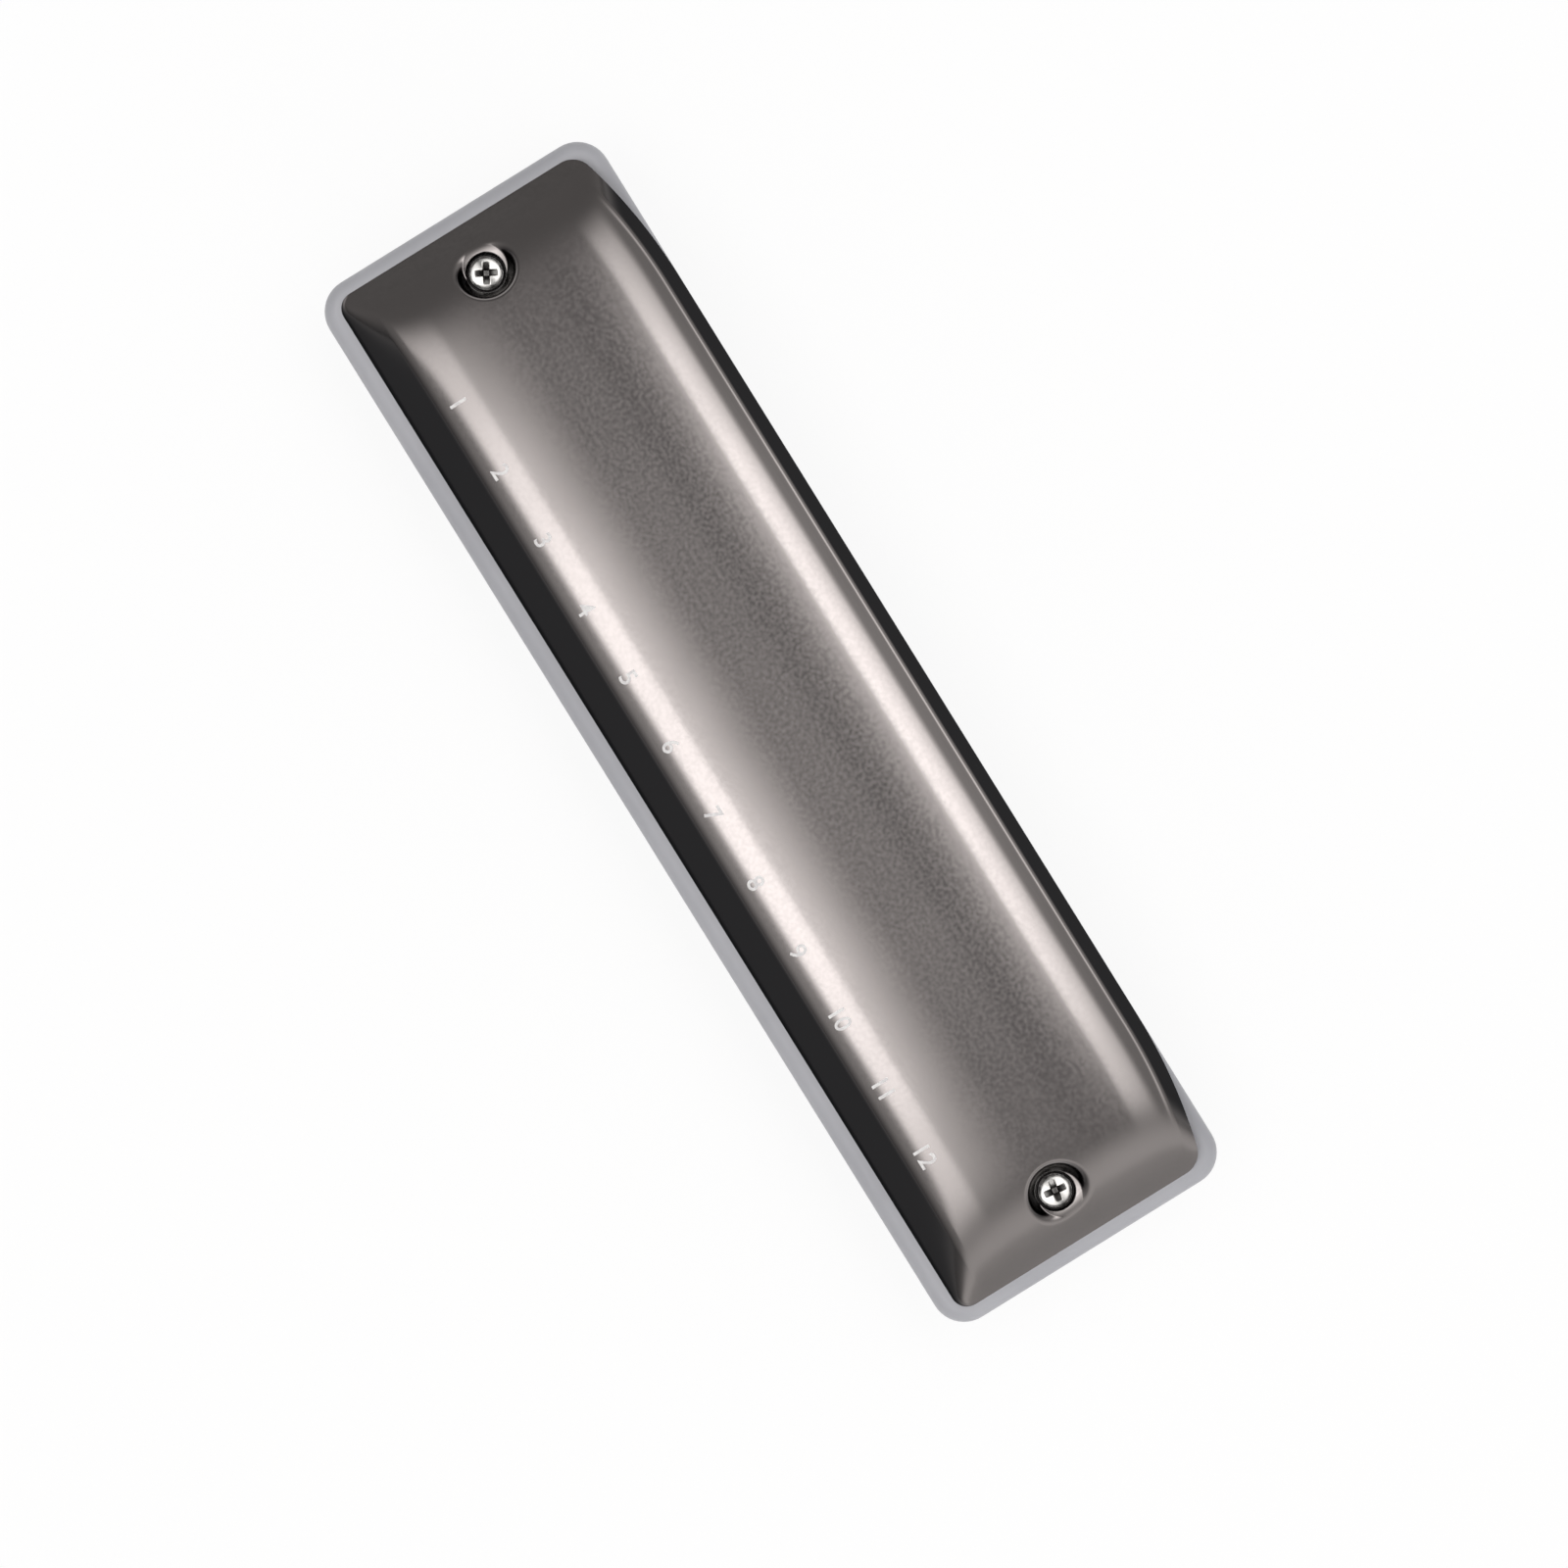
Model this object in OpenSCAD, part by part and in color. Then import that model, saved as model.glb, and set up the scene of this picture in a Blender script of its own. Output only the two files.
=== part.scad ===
// Twelve-hole diatonic harmonica: a moulded comb between two reed plates and two sheet-metal covers.
// X runs along the instrument from hole 1 to hole 12, Y from the mouth side to the back, and Z is up.
// The origin is the middle of the comb.

/* [Comb] */
// Length of the comb's solid end beyond the row of holes
end_block = 12; // [11:0.5:14]
// Width of the comb from the mouth side to the back
comb_w = 30.5; // [29:0.5:33]
// Thickness of the comb
comb_h = 8; // [7.5:0.25:10]
// Radius of the comb's corners, seen from above
comb_corner_r = 3.2; // [2.4:0.1:5]
// Radius that rounds the comb's outer edges
comb_edge_r = 1.3; // [0.6:0.1:1.4]

/* [Holes] */
// Distance from one hole to the next
hole_pitch = 7.5; // [7:0.1:8.2]
// Width of a hole and of the chamber behind it
hole_w = 5.5; // [4.8:0.1:5.8]
// Height of a hole in the front wall
hole_h = 5; // [4.4:0.1:5.2]
// Length that a chamber runs on past the tip of its longer reed
chamber_tail = 1.1; // [0.6:0.1:1.6]

/* [Reed plates] */
// Thickness of a reed plate
plate_t = 1; // [0.8:0.05:1.2]
// Distance from the comb's mouth side to the plates
plate_front_inset = 3; // [2.8:0.1:3.4]
// Distance from the comb's back to the plates
plate_back_inset = 2.7; // [2.4:0.1:3.2]
// Distance from the comb's ends to the plates
plate_end_inset = 3.6; // [3:0.1:4.2]
// Radius of a reed plate's corners
plate_corner_r = 1.2; // [0.6:0.1:2]
// Play between a reed plate and the comb's pocket
plate_gap = 0.1; // [0.05:0.01:0.15]

/* [Reeds] */
// Free length of the reed at hole 1
low_reed_len = 16.2; // [14:0.1:16.8]
// Free length of the reed at hole 12
high_reed_len = 8.6; // [7.5:0.1:10]
// Width of the reed at hole 1
low_reed_w = 2.2; // [2:0.05:2.5]
// Width of the reed at hole 12
high_reed_w = 1.8; // [1.6:0.05:2]
// Thickness of a reed at its root
reed_root_t = 0.32; // [0.26:0.01:0.36]
// Thickness of a reed where it is milled thinnest
reed_waist_t = 0.2; // [0.16:0.01:0.24]
// Thickness of a reed at its tip
reed_tip_t = 0.28; // [0.2:0.01:0.32]
// Gap between a reed and each side of its slot
reed_side_gap = 0.06; // [0.04:0.01:0.1]
// Gap between a reed's tip and the end of its slot
reed_tip_gap = 0.12; // [0.08:0.01:0.2]
// Length of the pad that is riveted down behind a reed
pad_len = 2.8; // [2.4:0.05:2.8]
// Width of that pad
pad_w = 3; // [2.6:0.1:3.4]

/* [Covers] */
// Height of a cover's crown above the comb
cover_h = 6; // [5.6:0.1:7]
// Thickness of the cover's sheet
cover_t = 0.5; // [0.4:0.05:0.6]
// Distance from the comb's mouth side to the cover
cover_front_inset = 1.75; // [1.5:0.05:1.9]
// Distance from the comb's ends to the cover
cover_end_inset = 1.4; // [1.3:0.05:1.6]
// Distance from the comb's back to the cover's lip along the middle
cover_back_inset = 0.1; // [0.05:0.05:0.4]
// Distance from the comb's back to the cover at its back corners
cover_wing_inset = 2.3; // [1.8:0.1:2.6]
// Length over which the lip sweeps in towards each back corner
cover_sweep_len = 15; // [8:1:18]
// Radius of a cover's corners, seen from above
cover_corner_r = 1.6; // [1.4:0.1:2.4]
// Slope of the shoulder above the holes, in degrees
shoulder_angle = 58; // [50:1:62]
// Bend radius at the top of the shoulder
shoulder_r = 1.8; // [1.4:0.1:2.4]
// Slope at which that bend passes into the wide one before the crown, in degrees
brow_angle = 20; // [16:1:24]
// Radius of the wide bends that lead to the crown from the front and from the back
brow_r = 12; // [10:0.5:14]
// Slope of the crown at its front and back edges, in degrees
crown_angle = 3; // [2.5:0.25:4]
// Width of the flat strip along the top of the crown
crown_flat = 9; // [7.5:0.5:10]
// Slope of an end at its foot, in degrees
end_angle = 42; // [38:1:46]
// Length over which an end bends up into the crown
end_len = 24; // [20:1:28]

/* [Lip at the back] */
// Slope at which the crown's wide bend passes into the tighter roll, in degrees
roll_start_angle = 14; // [12:1:17]
// Radius of the roll down to the bead
roll_r = 4; // [3.5:0.25:5]
// Steepest slope of that roll, in degrees
roll_angle = 30; // [26:1:34]
// Length of its straight part
roll_len = 0.3; // [0.2:0.05:0.6]
// Radius of the groove above the bead
groove_r = 0.8; // [0.6:0.1:1.2]
// Slope at the top of the bead, in degrees
bead_angle = 12; // [8:1:16]
// Radius of the bead
bead_r = 0.6; // [0.55:0.05:0.8]
// Slope of the turned-down lip, in degrees
lip_angle = 60; // [55:1:68]
// Length of the turned-down lip
lip_len = 2.2; // [1.8:0.1:2.6]

/* [Screws and nuts] */
// Distance from the comb's ends to the cover screws
screw_end_inset = 6.6; // [6.4:0.1:7]
// Radius of a cover screw's shank
screw_r = 1; // [0.8:0.05:1.1]
// Radius of a cover screw's head
screw_head_r = 1.7; // [1.5:0.05:1.9]
// Height of a cover screw's head
screw_head_h = 1.2; // [0.9:0.05:1.4]
// Radius of the flat floor of the well that holds a screw's head
well_floor_r = 2.25; // [2.15:0.05:2.4]
// Slope of the well's wall from upright, in degrees
well_draft = 15; // [10:1:18]
// Width of a nut across its flats
nut_flats = 3.6; // [3:0.1:3.7]
// Height of a nut
nut_h = 1.6; // [1.2:0.1:2]
// Radius of a plate screw's shank
plate_screw_r = 0.75; // [0.6:0.05:0.8]
// Radius of a plate screw's head
plate_screw_head_r = 1.35; // [1.2:0.05:1.5]
// Height of a plate screw's head
plate_screw_head_h = 0.7; // [0.5:0.05:0.9]

/* [Hidden] */
hole_count = 12;

// Overrun of every cut past the face that it opens
overrun = 0.5;
// Facets of a full circle
round_fn = 48;

// Comb faces and hole places
comb_len = hole_count * hole_pitch + 2 * end_block;
half_len = comb_len / 2;
half_w = comb_w / 2;
top_z = comb_h / 2;
pocket_z = top_z - plate_t;
function hole_x(k) = (k - (hole_count + 1) / 2) * hole_pitch;
// Share of the way from hole 1 to the last hole
function hole_share(k) = (k - 1) / (hole_count - 1);

// Reed plate edges
plate_x = half_len - plate_end_inset;
plate_front = -half_w + plate_front_inset;
plate_back = half_w - plate_back_inset;

// Blow reeds are riveted in a row at the front and point back.
// Draw reeds end in a row at the front and are riveted behind.
pad_edge = 0.1;
draw_tip_margin = 1.4;
root_gap = 0.03;
reed_lift = 0.03;
slot_root_gap = 0.08;
waist_share = 0.45;
function reed_len(k) = low_reed_len + (high_reed_len - low_reed_len) * hole_share(k);
function reed_w(k) = low_reed_w + (high_reed_w - low_reed_w) * hole_share(k);
blow_root_y = plate_front + pad_edge + pad_len;
draw_tip_y = plate_front + draw_tip_margin;
function draw_root_y(k) = draw_tip_y + reed_len(k);
function chamber_back(k) = blow_root_y + reed_len(k) + chamber_tail;

// Rivets
rivet_r = 0.6;
rivet_head_r = 1;
rivet_head_h = 0.4;
rivet_crown_r = 0.6;
rivet_fit = 0.02;
blow_rivet_y = blow_root_y - pad_len / 2;
function draw_rivet_y(k) = draw_root_y(k) + pad_len / 2;

// Plate screws stand beside the first and last holes, and behind every second wall between chambers
plate_screw_fit = 0.1;
thread_fit = 0.02;
plate_screw_edge = 1.7;
plate_screw_end_gap = 3.2;
plate_screw_slot_w = 0.4;
front_screw_x = hole_x(hole_count) + hole_w / 2 + plate_screw_end_gap;
front_screw_y = plate_front + plate_screw_edge + pad_edge;
back_screw_y = plate_back - plate_screw_edge;
PLATE_SCREWS = concat(
    [[-front_screw_x, front_screw_y], [front_screw_x, front_screw_y]],
    [for (k = [1 : 2 : hole_count - 1]) [(hole_x(k) + hole_x(k + 1)) / 2, back_screw_y]]
);

// Cover screws
screw_x = half_len - screw_end_inset;
screw_hole_fit = 0.15;
plate_hole_fit = 0.25;
screw_point_len = 0.4;
recess_depth = 0.6;
recess_w = 0.45;
recess_reach_share = 0.62;

// Section of a cover in the mid length, from the foot above the holes to the edge of the lip.
// A slope is the angle of the sheet going back: positive climbs and negative falls.
cover_half_len = half_len - cover_end_inset;
cover_front = -half_w + cover_front_inset;
cover_span = comb_w - cover_front_inset - cover_back_inset;
shoulder_rise = shoulder_r * (cos(brow_angle) - cos(shoulder_angle));
shoulder_run = shoulder_r * (sin(shoulder_angle) - sin(brow_angle));
brow_rise = brow_r * (cos(crown_angle) - cos(brow_angle));
brow_run = brow_r * (sin(brow_angle) - sin(crown_angle));
back_brow_run = brow_r * (sin(roll_start_angle) - sin(crown_angle));
roll_run = roll_r * (sin(roll_angle) - sin(roll_start_angle)) + roll_len * cos(roll_angle);
bead_run = groove_r * (sin(roll_angle) - sin(bead_angle)) + bead_r * (sin(lip_angle) - sin(bead_angle));
lip_run = lip_len * cos(lip_angle);
fixed_run = shoulder_run + brow_run + crown_flat + back_brow_run + roll_run + bead_run + lip_run;
bend_rise = shoulder_rise + brow_rise;
ramp_cot = cos(shoulder_angle) / sin(shoulder_angle);
// Radius of the crown, so that the section fills the span
crown_r = (cover_span - fixed_run - ramp_cot * (cover_h - bend_rise))
    / (2 * sin(crown_angle) - ramp_cot * (1 - cos(crown_angle)));
ramp_len = (cover_h - bend_rise - crown_r * (1 - cos(crown_angle))) / sin(shoulder_angle);

function heading(a) = [cos(a), sin(a)];
function upward(a) = [-sin(a), cos(a)];
// Point reached from p after a straight of length n on slope a
function straight_to(p, n, a) = p + n * heading(a);
// Point reached from p after an arc of radius r from slope a to slope b
function arc_to(p, r, a, b) = p + (b < a ? r : -r) * (upward(b) - upward(a));
// Stations [run, height, slope] along that arc, without its first point
function arc_stations(p, r, a, b, n) = [
    for (i = [1 : n]) let (c = a + (b - a) * i / n, q = arc_to(p, r, a, c)) [q[0], q[1], c]
];

ramp_top = straight_to([0, 0], ramp_len, shoulder_angle);
brow_start = arc_to(ramp_top, shoulder_r, shoulder_angle, brow_angle);
crown_start = arc_to(brow_start, brow_r, brow_angle, crown_angle);
flat_start = arc_to(crown_start, crown_r, crown_angle, 0);
flat_end = straight_to(flat_start, crown_flat, 0);
crown_end = arc_to(flat_end, crown_r, 0, -crown_angle);
roll_start = arc_to(crown_end, brow_r, -crown_angle, -roll_start_angle);
roll_end = arc_to(roll_start, roll_r, -roll_start_angle, -roll_angle);
groove_start = straight_to(roll_end, roll_len, -roll_angle);
bead_start = arc_to(groove_start, groove_r, -roll_angle, -bead_angle);
lip_start = arc_to(bead_start, bead_r, -bead_angle, -lip_angle);
lip_end = straight_to(lip_start, lip_len, -lip_angle);

SECTION = concat(
    [[0, 0, shoulder_angle], [ramp_top[0], ramp_top[1], shoulder_angle]],
    arc_stations(ramp_top, shoulder_r, shoulder_angle, brow_angle, 3),
    arc_stations(brow_start, brow_r, brow_angle, crown_angle, 3),
    arc_stations(crown_start, crown_r, crown_angle, 0, 2),
    [[flat_end[0], flat_end[1], 0]],
    arc_stations(flat_end, crown_r, 0, -crown_angle, 2),
    arc_stations(crown_end, brow_r, -crown_angle, -roll_start_angle, 2),
    arc_stations(roll_start, roll_r, -roll_start_angle, -roll_angle, 2),
    [[groove_start[0], groove_start[1], -roll_angle]],
    arc_stations(groove_start, groove_r, -roll_angle, -bead_angle, 1),
    arc_stations(bead_start, bead_r, -bead_angle, -lip_angle, 3),
    [[lip_end[0], lip_end[1], -lip_angle]]
);

// The same section a depth t inside the sheet. Its foot and its lip's edge end level with the outer ones.
function section_at(t) = [
    for (i = [0 : len(SECTION) - 1]) let (s = SECTION[i])
        i == 0 ? [t / sin(shoulder_angle), 0]
        : i == len(SECTION) - 1 ? [s[0] - t / sin(lip_angle), s[1]]
        : [s[0] + t * sin(s[2]), s[1] - t * cos(s[2])]
];

// Distances from a cover's end at which the section is repeated, close together near the end.
// Past end_len it stays the same, so one long panel joins the two halves.
end_steps = 12;
end_crowding = 1.8;
function step_at(i) = end_len * pow(i / end_steps, end_crowding);

// Height of an end at distance d from it: it leaves the foot at end_angle and steepens without limit
// towards end_len, so that only the section's own height a counts from there on
function end_rise(d) = d * tan(end_angle) / (1 - d / end_len);
// Height at distance d from the end where the section alone is a high: end and section meet in a wide bend
function domed(a, d) =
    a <= 0 || d <= 0 ? 0
    : d >= end_len ? a
    : let (b = end_rise(d)) a * b / sqrt(a * a + b * b);

// How far a rounded corner of radius r draws the edge in at distance d from the end
function corner_in(d, r) = d >= r ? 0 : r - sqrt(r * r - (r - d) * (r - d));
// How far the lip sweeps in at distance d from the end
function sweep_in(d) =
    (cover_wing_inset - cover_back_inset) * pow(1 - min(1, d / cover_sweep_len), 2);
function smooth_share(x) = x <= 0 ? 0 : x >= 1 ? 1 : x * x * (3 - 2 * x);

// Shares of the span between which the plan's outline changes from that of the front to that of the back
front_share = 0.25;
rear_share = 0.75;

// Points of one cross-section, a depth t inside the sheet, at distance d from the end of that surface
function cover_column(x, d, t) = let (r = cover_corner_r - t / sin(shoulder_angle)) [
    for (s = section_at(t))
        let (back_share = smooth_share((s[0] / cover_span - front_share) / (rear_share - front_share)))
        [
            x,
            cover_front + s[0] + corner_in(d, r) * (1 - 2 * back_share) - sweep_in(d) * back_share,
            domed(s[1], d)
        ]
];

// Grid of points over the whole cover, a depth t inside the sheet
function cover_grid(t) =
    let (reach = cover_half_len - t / sin(end_angle))
    concat(
        [for (i = [0 : end_steps]) let (d = step_at(i)) cover_column(d - reach, d, t)],
        [for (i = [end_steps : -1 : 0]) let (d = step_at(i)) cover_column(reach - d, d, t)]
    );

function flatten(l) = [for (a = l) for (b = a) b];
function two_triangles(q) = [[q[0], q[1], q[2]], [q[0], q[2], q[3]]];

// Closed skin between grid a, whose faces look up, and grid b below it
module skin_between(a, b) {
    rows = len(a[0]);
    cols = len(a);
    r = rows - 1;
    c = cols - 1;
    function upper(i, j) = i * rows + j;
    function lower(i, j) = cols * rows + i * rows + j;
    quads = concat(
        [for (i = [0 : c - 1]) for (j = [0 : r - 1])
            [upper(i, j), upper(i, j + 1), upper(i + 1, j + 1), upper(i + 1, j)]],
        [for (i = [0 : c - 1]) for (j = [0 : r - 1])
            [lower(i, j), lower(i + 1, j), lower(i + 1, j + 1), lower(i, j + 1)]],
        [for (i = [0 : c - 1]) [upper(i, 0), upper(i + 1, 0), lower(i + 1, 0), lower(i, 0)]],
        [for (i = [0 : c - 1]) [upper(i + 1, r), upper(i, r), lower(i, r), lower(i + 1, r)]],
        [for (j = [0 : r - 1]) [upper(0, j + 1), upper(0, j), lower(0, j), lower(0, j + 1)]],
        [for (j = [0 : r - 1]) [upper(c, j), upper(c, j + 1), lower(c, j + 1), lower(c, j)]]
    );
    polyhedron(concat(flatten(a), flatten(b)), flatten([for (q = quads) two_triangles(q)]));
}

// Flat copy of a grid, at height z
function lowered(grid, z) = [for (col = grid) [for (p = col) [p[0], p[1], z]]];

// Rectangle with round corners, from circles and squares
module round_rect(w, h, r) {
    square([w - 2 * r, h], center = true);
    square([w, h - 2 * r], center = true);
    for (sx = [-1, 1])
        for (sy = [-1, 1])
            translate([sx * (w / 2 - r), sy * (h / 2 - r)]) circle(r, $fn = round_fn);
}

// Outline of a reed plate, grown by g on every side
module plate_outline(g) {
    translate([0, (plate_front + plate_back) / 2])
        round_rect(2 * (plate_x + g), plate_back - plate_front + 2 * g, plate_corner_r);
}

// Comb before it is cut: its sides and ends carry the same rounded edge, and turned corners join them
module comb_blank() {
    rotate([90, 0, 90])
        translate([0, 0, comb_corner_r - half_len])
            linear_extrude(comb_len - 2 * comb_corner_r) round_rect(comb_w, comb_h, comb_edge_r);
    rotate([90, 0, 0])
        translate([0, 0, comb_corner_r - half_w])
            linear_extrude(comb_w - 2 * comb_corner_r) round_rect(comb_len, comb_h, comb_edge_r);
    for (sx = [-1, 1])
        for (sy = [-1, 1])
            translate([sx * (half_len - comb_corner_r), sy * (half_w - comb_corner_r), 0])
                rotate_extrude($fn = round_fn)
                    intersection() {
                        round_rect(2 * comb_corner_r, comb_h, comb_edge_r);
                        translate([0, -top_z]) square([comb_corner_r, comb_h]);
                    }
}

// Hole in the front wall and the chamber behind it, open above and below to the reed plates
module air_way(k) {
    translate([hole_x(k) - hole_w / 2, -half_w - overrun, -hole_h / 2])
        cube([hole_w, plate_front_inset + 2 * overrun, hole_h]);
    translate([hole_x(k) - hole_w / 2, plate_front - plate_gap, -pocket_z - overrun])
        cube([hole_w, chamber_back(k) - plate_front + plate_gap, 2 * (pocket_z + overrun)]);
}

module plate_pocket() {
    translate([0, 0, pocket_z]) linear_extrude(plate_t + overrun) plate_outline(plate_gap);
}

// Upright holes of radius r through everything between z0 and z1
module drill(places, r, z0, z1) {
    for (p = places)
        translate([p[0], p[1], z0 - overrun]) cylinder(h = z1 - z0 + 2 * overrun, r = r, $fn = round_fn);
}

COVER_SCREWS = [[-screw_x, 0], [screw_x, 0]];

module comb() {
    color([0.68, 0.69, 0.71])
        difference() {
            comb_blank();
            for (k = [1 : hole_count]) air_way(k);
            plate_pocket();
            mirror([0, 0, 1]) plate_pocket();
            drill(COVER_SCREWS, screw_r + screw_hole_fit, -top_z, top_z);
            drill(PLATE_SCREWS, plate_screw_r + plate_screw_fit, -top_z, top_z);
        }
}

// Slot that a reed swings through, between two places along Y
module slot(k, y0, y1, z0) {
    w = reed_w(k) + 2 * reed_side_gap;
    translate([hole_x(k) - w / 2, y0, z0 - overrun]) cube([w, y1 - y0, plate_t + 2 * overrun]);
}

BLOW_RIVETS = [for (k = [1 : hole_count]) [hole_x(k), blow_rivet_y]];
DRAW_RIVETS = [for (k = [1 : hole_count]) [hole_x(k), draw_rivet_y(k)]];

module upper_reed_plate() {
    color([0.80, 0.64, 0.33])
        difference() {
            translate([0, 0, pocket_z]) linear_extrude(plate_t) plate_outline(0);
            for (k = [1 : hole_count])
                slot(k, blow_root_y - slot_root_gap, blow_root_y + reed_len(k) + reed_tip_gap, pocket_z);
            drill(BLOW_RIVETS, rivet_r + rivet_fit, pocket_z, top_z);
            drill(PLATE_SCREWS, plate_screw_r + plate_screw_fit, pocket_z, top_z);
            drill(COVER_SCREWS, screw_r + plate_hole_fit, pocket_z, top_z);
        }
}

module lower_reed_plate() {
    color([0.80, 0.64, 0.33])
        difference() {
            translate([0, 0, -top_z]) linear_extrude(plate_t) plate_outline(0);
            for (k = [1 : hole_count])
                slot(k, draw_tip_y - reed_tip_gap, draw_root_y(k) + slot_root_gap, -top_z);
            drill(DRAW_RIVETS, rivet_r + rivet_fit, -top_z, -pocket_z);
            drill(PLATE_SCREWS, plate_screw_r + thread_fit, -top_z, -pocket_z);
            drill(COVER_SCREWS, screw_r + plate_hole_fit, -top_z, -pocket_z);
        }
}

// Tongue of a reed from its root to its tip along +Y, flat face up, milled thin between root and tip
module tongue(k) {
    n = reed_len(k);
    rotate([90, 0, 90])
        translate([0, 0, -reed_w(k) / 2])
            linear_extrude(reed_w(k))
                polygon([
                    [root_gap, 0],
                    [n, 0],
                    [n, -reed_tip_t],
                    [n * waist_share, -reed_waist_t],
                    [root_gap, -reed_root_t]
                ]);
}

module blow_reed(k) {
    color([0.86, 0.70, 0.40]) translate([hole_x(k), blow_root_y, pocket_z - reed_lift]) tongue(k);
}

module draw_reed(k) {
    color([0.86, 0.70, 0.40])
        translate([hole_x(k), draw_root_y(k), -top_z - reed_lift]) mirror([0, 1, 0]) tongue(k);
}

// Riveted pad behind a reed, its inner corner at the root line
module pad(x, y, z) {
    translate([x - pad_w / 2, y, z])
        difference() {
            cube([pad_w, pad_len, reed_root_t]);
            translate([pad_w / 2, pad_len / 2, -overrun])
                cylinder(h = reed_root_t + 2 * overrun, r = rivet_r + rivet_fit, $fn = round_fn);
        }
}

module blow_reed_roots() {
    color([0.86, 0.70, 0.40])
        for (k = [1 : hole_count]) pad(hole_x(k), blow_root_y - pad_len, pocket_z - reed_root_t);
}

module draw_reed_roots() {
    color([0.86, 0.70, 0.40])
        for (k = [1 : hole_count]) pad(hole_x(k), draw_root_y(k), -top_z - reed_root_t);
}

// Rivet with its head under z = 0 and its shank up through a pad and a plate
module rivet() {
    cylinder(h = reed_root_t + plate_t, r = rivet_r, $fn = round_fn);
    translate([0, 0, -rivet_head_h])
        cylinder(h = rivet_head_h, r1 = rivet_crown_r, r2 = rivet_head_r, $fn = round_fn);
}

module blow_rivets() {
    color([0.76, 0.60, 0.32])
        for (p = BLOW_RIVETS) translate([p[0], p[1], pocket_z - reed_root_t]) rivet();
}

module draw_rivets() {
    color([0.76, 0.60, 0.32])
        for (p = DRAW_RIVETS) translate([p[0], p[1], -top_z - reed_root_t]) rivet();
}

module plate_screws() {
    slot_len = 2 * plate_screw_head_r + overrun;
    color([0.80, 0.80, 0.78])
        for (p = PLATE_SCREWS)
            translate([p[0], p[1], 0])
                difference() {
                    union() {
                        translate([0, 0, -top_z]) cylinder(h = comb_h, r = plate_screw_r, $fn = round_fn);
                        translate([0, 0, top_z])
                            cylinder(h = plate_screw_head_h, r = plate_screw_head_r, $fn = round_fn);
                    }
                    translate([0, 0, top_z + plate_screw_head_h])
                        cube([slot_len, plate_screw_slot_w, plate_screw_head_h], center = true);
                }
}

// Well of a cover screw: g widens the hollow into the sheet around it
module well(z0, g) {
    cylinder(
        h = cover_h - z0,
        r1 = well_floor_r + g + (z0 - cover_t) * tan(well_draft),
        r2 = well_floor_r + g + (cover_h - cover_t) * tan(well_draft),
        $fn = round_fn
    );
}

// Cover with its foot on z = 0: a pressed sheet with a shoulder, domed ends, an open back with a
// beaded lip, and a well at each end for its screw
module cover_shell() {
    difference() {
        union() {
            skin_between(cover_grid(0), cover_grid(cover_t));
            intersection() {
                skin_between(cover_grid(cover_t / 2), lowered(cover_grid(cover_t / 2), -overrun));
                for (p = COVER_SCREWS) translate([p[0], p[1], 0]) well(0, cover_t);
            }
        }
        for (p = COVER_SCREWS) translate([p[0], p[1], cover_t]) well(cover_t, 0);
        drill(COVER_SCREWS, screw_r + screw_hole_fit, 0, cover_t);
    }
}

module upper_cover() {
    color([0.42, 0.40, 0.39]) translate([0, 0, top_z]) cover_shell();
}

// The same pressing, turned over end for end
module lower_cover() {
    color([0.42, 0.40, 0.39]) rotate([0, 180, 0]) translate([0, 0, top_z]) cover_shell();
}

// Domed head with a cross recess, on a shank that reaches through the nut
module cover_screw() {
    reach = 2 * (top_z + cover_t) + nut_h + screw_point_len;
    dome_r = 2 * screw_head_r;
    recess_len = 2 * screw_head_r * recess_reach_share;
    difference() {
        union() {
            translate([0, 0, -reach]) cylinder(h = reach, r = screw_r, $fn = round_fn);
            intersection() {
                cylinder(h = screw_head_h, r = screw_head_r, $fn = round_fn);
                translate([0, 0, screw_head_h - dome_r]) sphere(r = dome_r, $fn = round_fn);
            }
        }
        for (a = [0, 90])
            rotate([0, 0, a])
                translate([0, 0, screw_head_h])
                    cube([recess_len, recess_w, 2 * recess_depth], center = true);
    }
}

module cover_screws() {
    color([0.78, 0.78, 0.76])
        for (p = COVER_SCREWS) translate([p[0], p[1], top_z + cover_t]) cover_screw();
}

module cover_nuts() {
    color([0.78, 0.78, 0.76])
        for (p = COVER_SCREWS)
            translate([p[0], p[1], -top_z - cover_t - nut_h])
                difference() {
                    cylinder(h = nut_h, r = nut_flats / 2 / cos(30), $fn = 6);
                    translate([0, 0, -overrun])
                        cylinder(h = nut_h + 2 * overrun, r = screw_r + thread_fit, $fn = round_fn);
                }
}

comb();
upper_reed_plate();
lower_reed_plate();
for (k = [1 : hole_count]) blow_reed(k);
for (k = [1 : hole_count]) draw_reed(k);
blow_reed_roots();
draw_reed_roots();
blow_rivets();
draw_rivets();
plate_screws();
upper_cover();
lower_cover();
cover_screws();
cover_nuts();
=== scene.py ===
# %% [markdown]
# # A twelve-hole diatonic harmonica, seen from straight above
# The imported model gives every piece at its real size. This lesson dresses it: the two pressed covers
# are made again as smooth surfaces, the comb gets soft edges, and each metal gets its own finish.
# The cells can be read from top to bottom, and those that make something print what they made.

# %% Load the frame
import math

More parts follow.
